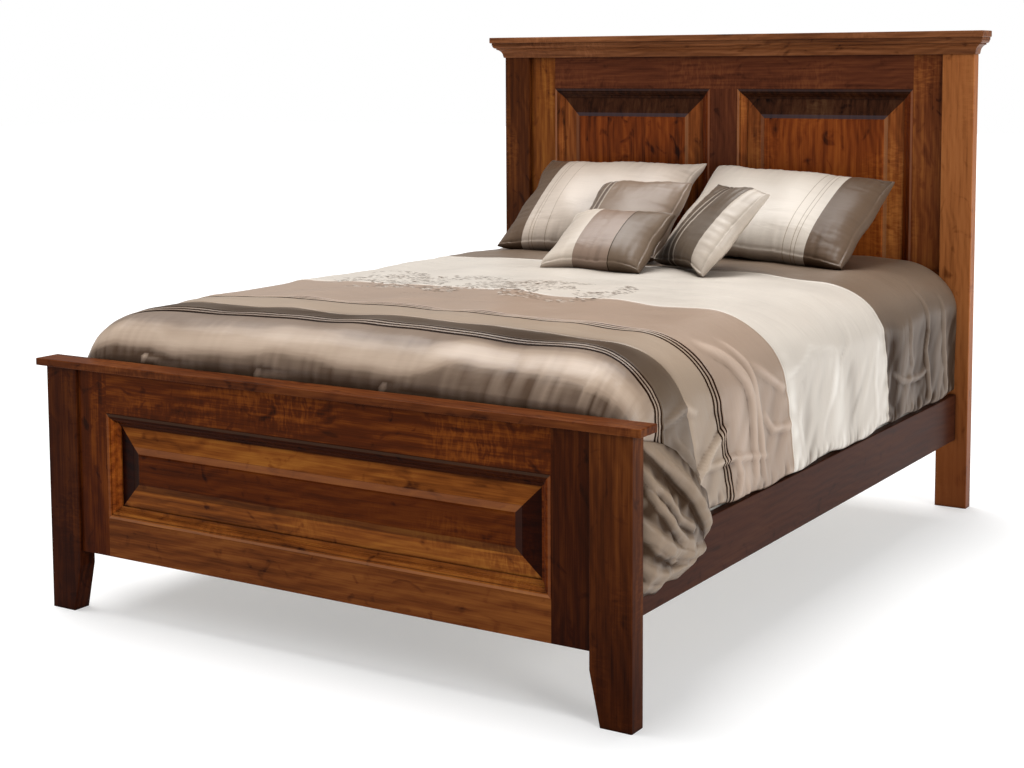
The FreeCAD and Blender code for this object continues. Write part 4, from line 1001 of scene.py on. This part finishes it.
# piece, its node and slot; half width, half height and thickness; lean, yaw and roll in degrees; how blunt
# the corners are; the bands of cloth from left to right
PILLOWS = (
    ("sham_left_pillow", "sham_left", "sham_fabric", (0.288, 0.221, 0.150), (54.5, 0, 0.8), 0.0, [
        (-0.40, SHAM_TAUPE), (-0.195, SHADED_LEFT_CREAM), *shaded_stitch_lines((-0.170, -0.158, -0.110), SHADED_LEFT_CREAM),
    ]),
    ("sham_right_pillow", "sham_right", "sham_fabric", (0.307, 0.205, 0.150), (55, 0, -5), 0.0, [
        (-0.40, RIGHT_CREAM), *shaded_stitch_lines((0.105, 0.132, 0.144), RIGHT_CREAM), (0.176, SHAM_TAUPE),
    ]),
    ("taupe_pillow", "accent_pillow_back", "accent_taupe", (0.161, 0.176, 0.104), (51.5, 0, 1.4), 0.06, [
        (-0.40, "#8d7d6f"), (-0.120, BACK_STRIPE), (-0.114, "#84756a"), (-0.100, BACK_STRIPE),
        (-0.094, "#a48f7d"),
    ]),
    ("banded_pillow", "accent_pillow_front", "accent_banded", (0.164, 0.142, 0.104), (59.5, 1, 0), 0.04, [
        (-0.40, "#faeee0"), (-0.060, "#ad9686"), (0.053, "#54473a"), (0.056, "#8b7866"),
    ]),
    ("grey_pillow", "accent_pillow_turned", "accent_grey", (0.157, 0.157, 0.096), (43.5, -37, 0), 0.04, [
        (-0.40, "#faeee0"), (-0.146, "#827364"), (-0.060, TURNED_STRIPE), (-0.053, "#75675a"),
        (-0.034, TURNED_STRIPE), (-0.027, "#827364"), (0.080, "#f4e9dc"),
    ]),
)


# ------------------------------------------------------------------ mattress and foundation
def rounded_outline(half_x, half_y, radius, count):
    """Points evenly round a rectangle with round corners, and the outward direction at each."""
    straight_x, straight_y = 2 * (half_x - radius), 2 * (half_y - radius)
    quarter = math.pi / 2 * radius
    lengths = np.tile([straight_y, quarter, straight_x, quarter], 2)
    ends = np.concatenate([[0], np.cumsum(lengths)])
    at = np.linspace(0, ends[-1], count, endpoint=False)
    leg = np.searchsorted(ends, at, side="right") - 1
    share = (at - ends[leg]) / lengths[leg]
    side = leg // 2
    heading = np.where(leg % 2 == 1, (side + share) * math.pi / 2, side * math.pi / 2)
    out = np.stack([np.cos(heading), np.sin(heading)], -1)
    along = np.stack([-np.sin(heading), np.cos(heading)], -1)
    corners = np.array([(1, 1), (-1, 1), (-1, -1), (1, -1)]) * (half_x - radius, half_y - radius)
    starts = np.roll(corners, 1, 0)
    on_arc = corners[side] + radius * out
    on_line = starts[side] + radius * out + along * (share * lengths[leg])[:, None]
    return np.where((leg % 2 == 1)[:, None], on_arc, on_line), out, at


def upholstered_block(name, node, levels, corner, count, quilting, look):
    """Closed upholstered block: rings of a rounded rectangle carried up a profile of (inset, height) pairs,
    closed by rings that shrink to a middle line at the bottom and the top; quilting lifts its top."""
    low, high = (np.array(v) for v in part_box(node))
    half_x, half_y = (high[:2] - low[:2]) / 2
    middle = (high + low) / 2
    outline, out, at = rounded_outline(half_x, half_y, corner, count)
    inset = np.array([l[0] for l in levels])[:, None, None]
    walls = outline[None] - out[None] * inset
    height = np.broadcast_to(np.array([l[1] for l in levels])[:, None], walls.shape[:2])
    walls = np.concatenate([walls, height[..., None]], -1)
    cap_rings = 44
    keep = np.linspace(1, 0, cap_rings + 1)[1:, None]
    half_line = half_y - half_x

    def lid(ring):
        """Rings from a wall ring to the middle line."""
        spine = np.clip(ring[:, 1], -half_line, half_line)
        x = ring[None, :, 0] * keep
        y = spine + (ring[None, :, 1] - spine) * keep
        return np.stack([x, y, np.broadcast_to(ring[:, 2], x.shape)], -1)

    top = lid(walls[-1])
    bottom = lid(walls[0])[::-1]
    rings = np.concatenate([bottom, walls, top])
    lift = quilting(rings[..., 0], rings[..., 1])
    near_top = np.zeros(rings.shape[:2])
    near_top[-cap_rings:] = smooth(np.arange(cap_rings) / 3)[:, None]
    near_top[:cap_rings] = -smooth(np.arange(cap_rings)[::-1] / 3)[:, None]
    rings[..., 2] += lift * near_top
    total, around = rings.shape[:2]
    first = np.arange(total - 1)[:, None] * around + np.arange(around)[None]
    ahead = np.roll(first, -1, 1)
    faces = np.stack([first, ahead, ahead + around, first + around], -1).reshape(-1, 4)
    verts = rings.reshape(-1, 3)
    girth = np.broadcast_to(at, (total, around))
    flat = np.stack([girth, rings[..., 2]], -1).reshape(-1, 2)
    verts = verts + (middle[0], middle[1], 0)
    made = as_mesh(name, verts, faces, flat, look, node)
    # the middle line's doubled points are joined, so that the block is one closed skin
    work = bmesh.new()
    work.from_mesh(made.data)
    bmesh.ops.remove_doubles(work, verts=work.verts, dist=0.0002)
    bmesh.ops.recalc_face_normals(work, faces=work.faces)
    work.to_mesh(made.data)
    work.free()


def ticking(name, ground, stripe):
    """Knitted or woven ticking: off-white ground with a slightly darker stripe and a small jacquard
    pattern."""
    made, add = material(name)
    place = add("TexCoord", out="Object")
    # stripes 45 mm apart and knitted cells 4 mm across
    lines = add("TexWave", {"Vector": place, "Scale": 7.0, "Distortion": 1.2}, "Fac",
                wave_type="BANDS", bands_direction="DIAGONAL")
    knit = add("TexVoronoi", {"Vector": place, "Scale": 260.0}, "Distance")
    value = weighted(add, [(lines, 0.6), (knit, 0.6)])
    surface(add, {
        "Base Color": add("ValToRGB", {"Fac": value}, stops=[(0.2, stripe), (0.7, ground)]),
        "Roughness": 0.72,
        "Specular IOR Level": 0.25,
        "Sheen Weight": 0.2,
        "Sheen Roughness": 0.5,
        "Normal": add("Bump", {"Strength": 0.25, "Distance": 0.0006, "Height": knit}),
    })
    return made


def make_mattress():
    """Queen mattress: quilted top and bottom, straight border and a round tape edge above and below."""
    low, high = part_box("mattress")
    base, top = low[2] + 0.008, high[2] - 0.012
    angles = np.linspace(0, math.pi / 2, 12)
    rim, heel = 0.070, 0.0233
    levels = [(heel * (1 - math.sin(a)), base + heel * (1 - math.cos(a))) for a in angles]
    levels += [
        (0.0025, base + heel + 0.004), (0.0, base + heel + 0.009), (0.0, (base + top) / 2),
        (0.0, top - rim - 0.010), (0.0025, top - rim - 0.005),
    ]
    levels += [(rim * (1 - math.cos(a)), top - rim * (1 - math.sin(a))) for a in angles]

    def diamonds(x, y):
        """Quilted diamonds 180 mm apart: the product of two rows of arches laid crosswise."""
        size = 0.18
        one = np.abs(np.sin(math.pi * (x + y) / size))
        other = np.abs(np.sin(math.pi * (x - y) / size))
        return 0.010 * (one * other) ** 0.5 - 0.002

    look = ticking("quilted_knit_ticking", "#efede6", "#dcd8cd")
    upholstered_block("mattress_block", "mattress", levels, 0.075, 420, diamonds, look)


def make_foundation():
    """Box foundation: flat cloth panels over a wood frame, with a corded edge above and below."""
    low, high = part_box("foundation")
    base, top = low[2], high[2]
    levels = [
        (0.050, base), (0.012, base + 0.001), (0.004, base + 0.003), (0.001, base + 0.007),
        (0.004, base + 0.011), (0.001, base + 0.020), (0.000, (base + top) / 2), (0.001, top - 0.020),
        (0.004, top - 0.011), (0.001, top - 0.007), (0.004, top - 0.003), (0.012, top - 0.001), (0.050, top),
    ]

    def plain(x, y):
        return 0.0008 * ripple(x, y, 0.4, 31) - 0.0022

    look = ticking("woven_ticking", "#e4e1d9", "#cfcabf")
    upholstered_block("foundation_block", "foundation", levels, 0.060, 300, plain, look)


# ------------------------------------------------------------------ floor, light and camera
FLOOR_HALF = 30.0


def make_floor():
    """Plain white studio floor that keeps the bed's soft shadow; it shows a little brighter to the camera."""
    made, add = material("studio_floor")
    path = add("LightPath", out=None).outputs
    seen = add("Math", (path["Is Camera Ray"], path["Is Glossy Ray"]), operation="MAXIMUM")
    place = add("TexCoord", out="Object")
    # the grey varies faintly over about 330 mm
    mottle = add("TexNoise", {"Vector": place, "Scale": 3.0}, "Fac")
    surface(add, {
        "Base Color": add("ValToRGB", {"Fac": mottle}, stops=[(0.0, "#d6d6d6"), (1.0, "#dadada")]),
        "Roughness": 1.0,
        "Specular IOR Level": 0.0,
        "Emission Color": "#ffffff",
        "Emission Strength": add("Math", (seen, 0.38), operation="MULTIPLY"),
    })
    mesh = bpy.data.meshes.new("floor")
    corners = [(x * FLOOR_HALF, y * FLOOR_HALF, 0) for x, y in ((-1, -1), (1, -1), (1, 1), (-1, 1))]
    mesh.from_pydata(corners, [], [(0, 1, 2, 3)])
    mesh.materials.append(made)
    floor = bpy.data.objects.new("floor", mesh)
    bpy.context.scene.collection.objects.link(floor)


def make_light():
    """Even studio light: a pale sky all round, a broad soft light overhead and a smaller one from the
    right."""
    world = bpy.data.worlds.new("studio")
    bpy.context.scene.world = world
    world.use_nodes = True
    world.node_tree.nodes.clear()
    add = functools.partial(add_node, world.node_tree)
    to_camera = add("LightPath", out="Is Camera Ray")
    strength = add("MapRange", (to_camera, 0.0, 1.0, 0.32, 1.0))
    sky = add("Background", {"Color": "#ffffff", "Strength": strength})
    add("OutputWorld", {"Surface": sky}, None)
    for name, energy, angle, toward in (
        ("overhead", 2.95, 45, (-0.28, 0.12, 0.95)),
        ("right", 1.25, 20, (0.86, -0.34, 0.40)),
    ):
        lamp = bpy.data.lights.new(name, "SUN")
        lamp.energy = energy
        lamp.angle = math.radians(angle)
        sun = bpy.data.objects.new(name, lamp)
        bpy.context.scene.collection.objects.link(sun)
        sun.rotation_euler = Vector(toward).to_track_quat("Z", "Y").to_euler()


# lens and frame in millimetres and shares of the frame's width; place in metres, angles in degrees
FRAME_WIDTH, LENS, SHIFT_DOWN = 36.0, 61.71, 0.145
CAMERA_AT = (2.456, -4.1115, 1.343)
TURN_Z, DIP, ROLL = 32.25, 5.46, -0.28


def make_camera():
    """Camera at the photograph's viewing angle: place, compass turn, dip and roll, with its frame shifted
    down."""
    data = bpy.data.cameras.new("camera")
    data.sensor_width = FRAME_WIDTH
    data.lens = LENS
    data.shift_y = -SHIFT_DOWN
    camera = bpy.data.objects.new("camera", data)
    bpy.context.scene.collection.objects.link(camera)
    place = Matrix.Translation(CAMERA_AT)
    for angle, axis in ((TURN_Z, "Z"), (90 - DIP, "X"), (ROLL, "Z")):
        place = place @ Matrix.Rotation(math.radians(angle), 4, axis)
    camera.matrix_world = place
    bpy.context.scene.camera = camera


dress_frame()
make_foundation()
make_mattress()
make_comforter()
for seed, pillow in enumerate(PILLOWS, 11):
    make_pillow(*pillow, seed)
make_floor()
make_light()
make_camera()
bpy.context.scene.view_settings.view_transform = "Standard"
